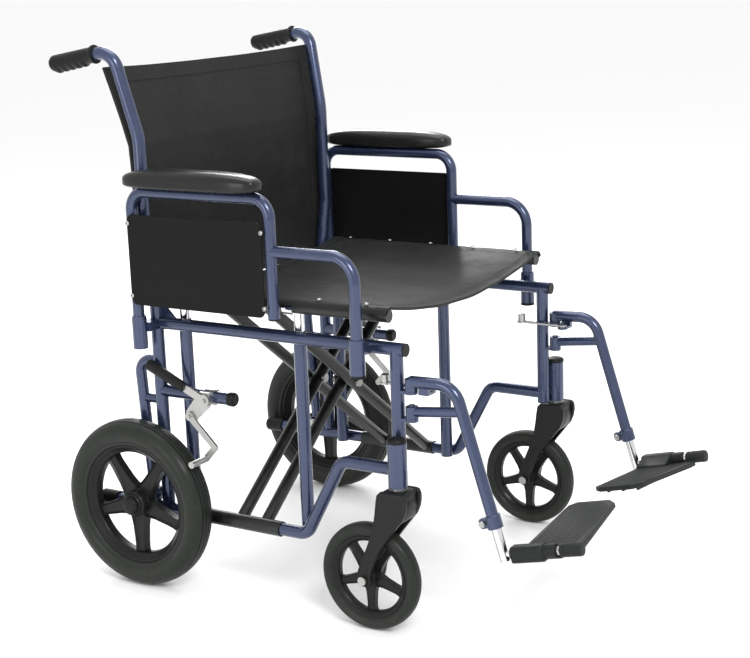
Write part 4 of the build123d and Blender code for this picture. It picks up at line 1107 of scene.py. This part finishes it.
boltParts = [
    turned("shank", [(0.0, 0.0), (collar["bolt"], 0.0), (collar["bolt"], 0.0240), (0.0026, 0.0246), (0.0, 0.0246)],
           boltSpot - Vector((0.0110, 0, 0)), (1, 0, 0), 20, closed=False),
    hexBolt("head", boltSpot - Vector((0.0088, 0, 0)), (1, 0, 0), 0.0058, 0.0042),
    hexBolt("nut", boltSpot + Vector((0.0046, 0, 0)), (1, 0, 0), 0.0058, 0.0044),
]
pinch = joined("pinchBolt", boltParts)
settle(pinch, 35, merge=1e-7, outward=False)
pair(pinch, "zinc_steel", "hanger_{}", "hanger_clamp_{}")
print("collars done")


# footplates: ribbed tread inside a raised border, a hinge housing on its outboard edge and a knurled end cap
foot = {
    "tilt": 13, "roll": 5.5, "axisZ": 0.160, "top": -0.005, "thick": 0.009, "border": 0.0055, "sunk": 0.0012,
    "plan": [(0, -18), (208, -18), (220, -30), (220, -90), (204, -106), (40, -124), (14, -124), (14, -102), (0, -102)],
    "housing": [(-12.5, -12), (-13, 6), (-9, 12), (8, 12.5), (14, 8), (40, 1), (42, -3), (42, -13.5), (-8, -14.5)],
    "housingFrom": 18, "housingTo": 76, "ribs": 13, "ribPitch": 6.4, "ribTall": 0.0011, "knurls": 16,
}
footTilt, footRoll = radians(foot["tilt"]), radians(foot["roll"])
hingeSpot = Vector((legX, slopeY(foot["axisZ"]), foot["axisZ"]))
hingeBack = Vector((0, cos(footTilt), -sin(footTilt)))
hingeUp = Vector((0, sin(footTilt), cos(footTilt)))
plateIn = Vector((cos(footRoll), 0, 0)) + hingeUp * sin(footRoll)
plateUp = hingeUp * cos(footRoll) - Vector((sin(footRoll), 0, 0))


def onPlate(u, v, w):                         # millimetres inboard and back, metres above the hinge
    return hingeSpot + plateIn * (u / 1000) + hingeBack * (v / 1000) + plateUp * w


tread = plate("tread", [onPlate(u, v, foot["top"] - foot["thick"]) for u, v in foot["plan"]], plateUp * foot["thick"])
recess(tread, lambda f: f.normal.dot(plateUp) > 0.95, foot["border"], foot["sunk"])
modify(tread, "BEVEL", width=0.0016, segments=2, limit_method="ANGLE", angle_limit=radians(50))
footParts = [tread]
for k in range(foot["ribs"]):
    v = -26 - foot["ribPitch"] * k
    start, end = 44 if v > -80 else 26, 212 - (max(0, -v - 84) * 1.4)
    ring = [onPlate(u, y, foot["top"] - foot["sunk"] - 0.0004) for u, y in
            ((start, v - 1.1), (end, v - 1.1), (end, v + 1.1), (start, v + 1.1))]
    footParts.append(plate("rib", ring, plateUp * foot["ribTall"], 0.0003))
for k in range(3):                            # stiffeners underneath
    v = -34 - 28 * k
    ring = [onPlate(u, y, foot["top"] - foot["thick"] - 0.006) for u, y in ((36, v - 2), (196, v - 2), (196, v + 2), (36, v + 2))]
    footParts.append(plate("stiffener", ring, plateUp * 0.0065, 0.0008))
ring = [hingeSpot + Vector((u / 1000, 0, 0)) + hingeUp * (w / 1000) - hingeBack * (foot["housingFrom"] / 1000)
        for u, w in foot["housing"]]
footParts.append(plate("housing", ring, -hingeBack * ((foot["housingTo"] - foot["housingFrom"]) / 1000), 0.0018, 3))
sleeve = [(0.0053, 0.0), (0.0108, 0.0), (0.0115, 0.0008), (0.0115, 0.0792), (0.0108, 0.080), (0.0053, 0.080)]
footParts.append(turned("sleeve", sleeve, hingeSpot - hingeBack * 0.016, -hingeBack, 40))
knob = [(0.0053, 0.0), (0.0100, 0.0), (0.0109, 0.0010), (0.0109, 0.0050), (0.0101, 0.0060), (0.0101, 0.0078), (0.0109, 0.0088),
        (0.0109, 0.0340), (0.0100, 0.0362), (0.0060, 0.0370), (0.0, 0.0371), (0.0, 0.0305), (0.0053, 0.0305)]
knobFoot = hingeSpot - hingeBack * 0.104
cap = turned("knob", knob, knobFoot, -hingeBack, 64, smooth=40)


def knurled(co):
    offset = co - knobFoot
    along = -offset.dot(hingeBack)
    radial = offset + hingeBack * along
    if radial.length < 0.0105 or not 0.010 < along < 0.034:
        return co
    turn = atan2(radial.dot(hingeUp), radial.x)
    return co - radial.normalized() * (0.0005 * (0.5 + 0.5 * cos(turn * foot["knurls"])))


footParts.append(reshape(cap, knurled))
footPlate = joined("footPlate", footParts)
settle(footPlate, 38, merge=1e-7, outward=False)
pair(footPlate, "footplate_plastic", "footplate_{}", "footplate_{}")
nut = hexBolt("hingeNut", hingeSpot - hingeBack * 0.0972, -hingeBack, 0.0078, 0.0050)
pair(nut, "zinc_steel", "leg_{}")
print("footplates done")


# floor, light and camera

studio = {
    "floorRadius": 60.0, "floorShade": 0.93, "world": 1.02,
    "place": (-2.4007, -1.4984, 1.0902),
    "right": (0.53040125, -0.84702153, -0.03505779),
    "up": (0.20893199, 0.09053009, 0.97373083),
    "away": (0.82159719, 0.52379274, -0.22498717),
    "lens": 77.73, "sensor": 36.0,
}
clearSelection()
bpy.ops.mesh.primitive_circle_add(vertices=96, radius=studio["floorRadius"], fill_type="NGON", location=(0, 0, 0))
floor = bpy.context.object
floor.name = "studioFloor"
paper = Finish("paleFloor", Specular_IOR_Level=0.2)
mottle = paper.noise(paper.place(), 3, 3)
shade = studio["floorShade"]
floor.data.materials.append(paper.feed(
    Base_Color=paper.mix(mottle * 0.2, (shade, shade, shade), (shade * 0.98, shade * 0.98, shade * 0.975)),
    Roughness=(0.6 + mottle * 0.1).clamp(),
))

world = bpy.data.worlds.new("studioAir")
world.use_nodes = True
world.node_tree.nodes["Background"].inputs["Color"].default_value = (1, 1, 1, 1)
world.node_tree.nodes["Background"].inputs["Strength"].default_value = studio["world"]
bpy.context.scene.world = world

lamps = [                                     # name, place, aimed at, watts, size
    ("keyPanel", (-2.6, -2.8, 3.4), (0, 0, 0.5), 120, 1.4),
    ("topPanel", (0.3, 0.4, 3.6), (0, 0, 0.4), 60, 2.4),
    ("rimPanel", (2.8, 2.2, 2.2), (0, 0, 0.6), 55, 1.4),
    ("lowFill", (-3.4, 0.8, 0.9), (0, 0, 0.4), 18, 1.2),
]
for name, spot, aim, watts, size in lamps:
    clearSelection()
    bpy.ops.object.light_add(type="AREA", location=spot)
    lamp = bpy.context.object
    lamp.name = name
    lamp.data.energy = watts
    lamp.data.size = size
    lamp.rotation_mode = "QUATERNION"
    lamp.rotation_quaternion = (Vector(aim) - Vector(spot)).to_track_quat("-Z", "Y")

clearSelection()
bpy.ops.object.camera_add(location=studio["place"])
camera = bpy.context.object
right, up, away = (Vector(studio[key]) for key in ("right", "up", "away"))
turn = Matrix((right, up, -away)).transposed()
camera.rotation_mode = "QUATERNION"
camera.rotation_quaternion = turn.to_quaternion()
camera.data.sensor_width = studio["sensor"]
camera.data.lens = studio["lens"]
camera.data.clip_end = 200
bpy.context.scene.camera = camera
bpy.context.scene.view_settings.view_transform = "Standard"
print("studio set")
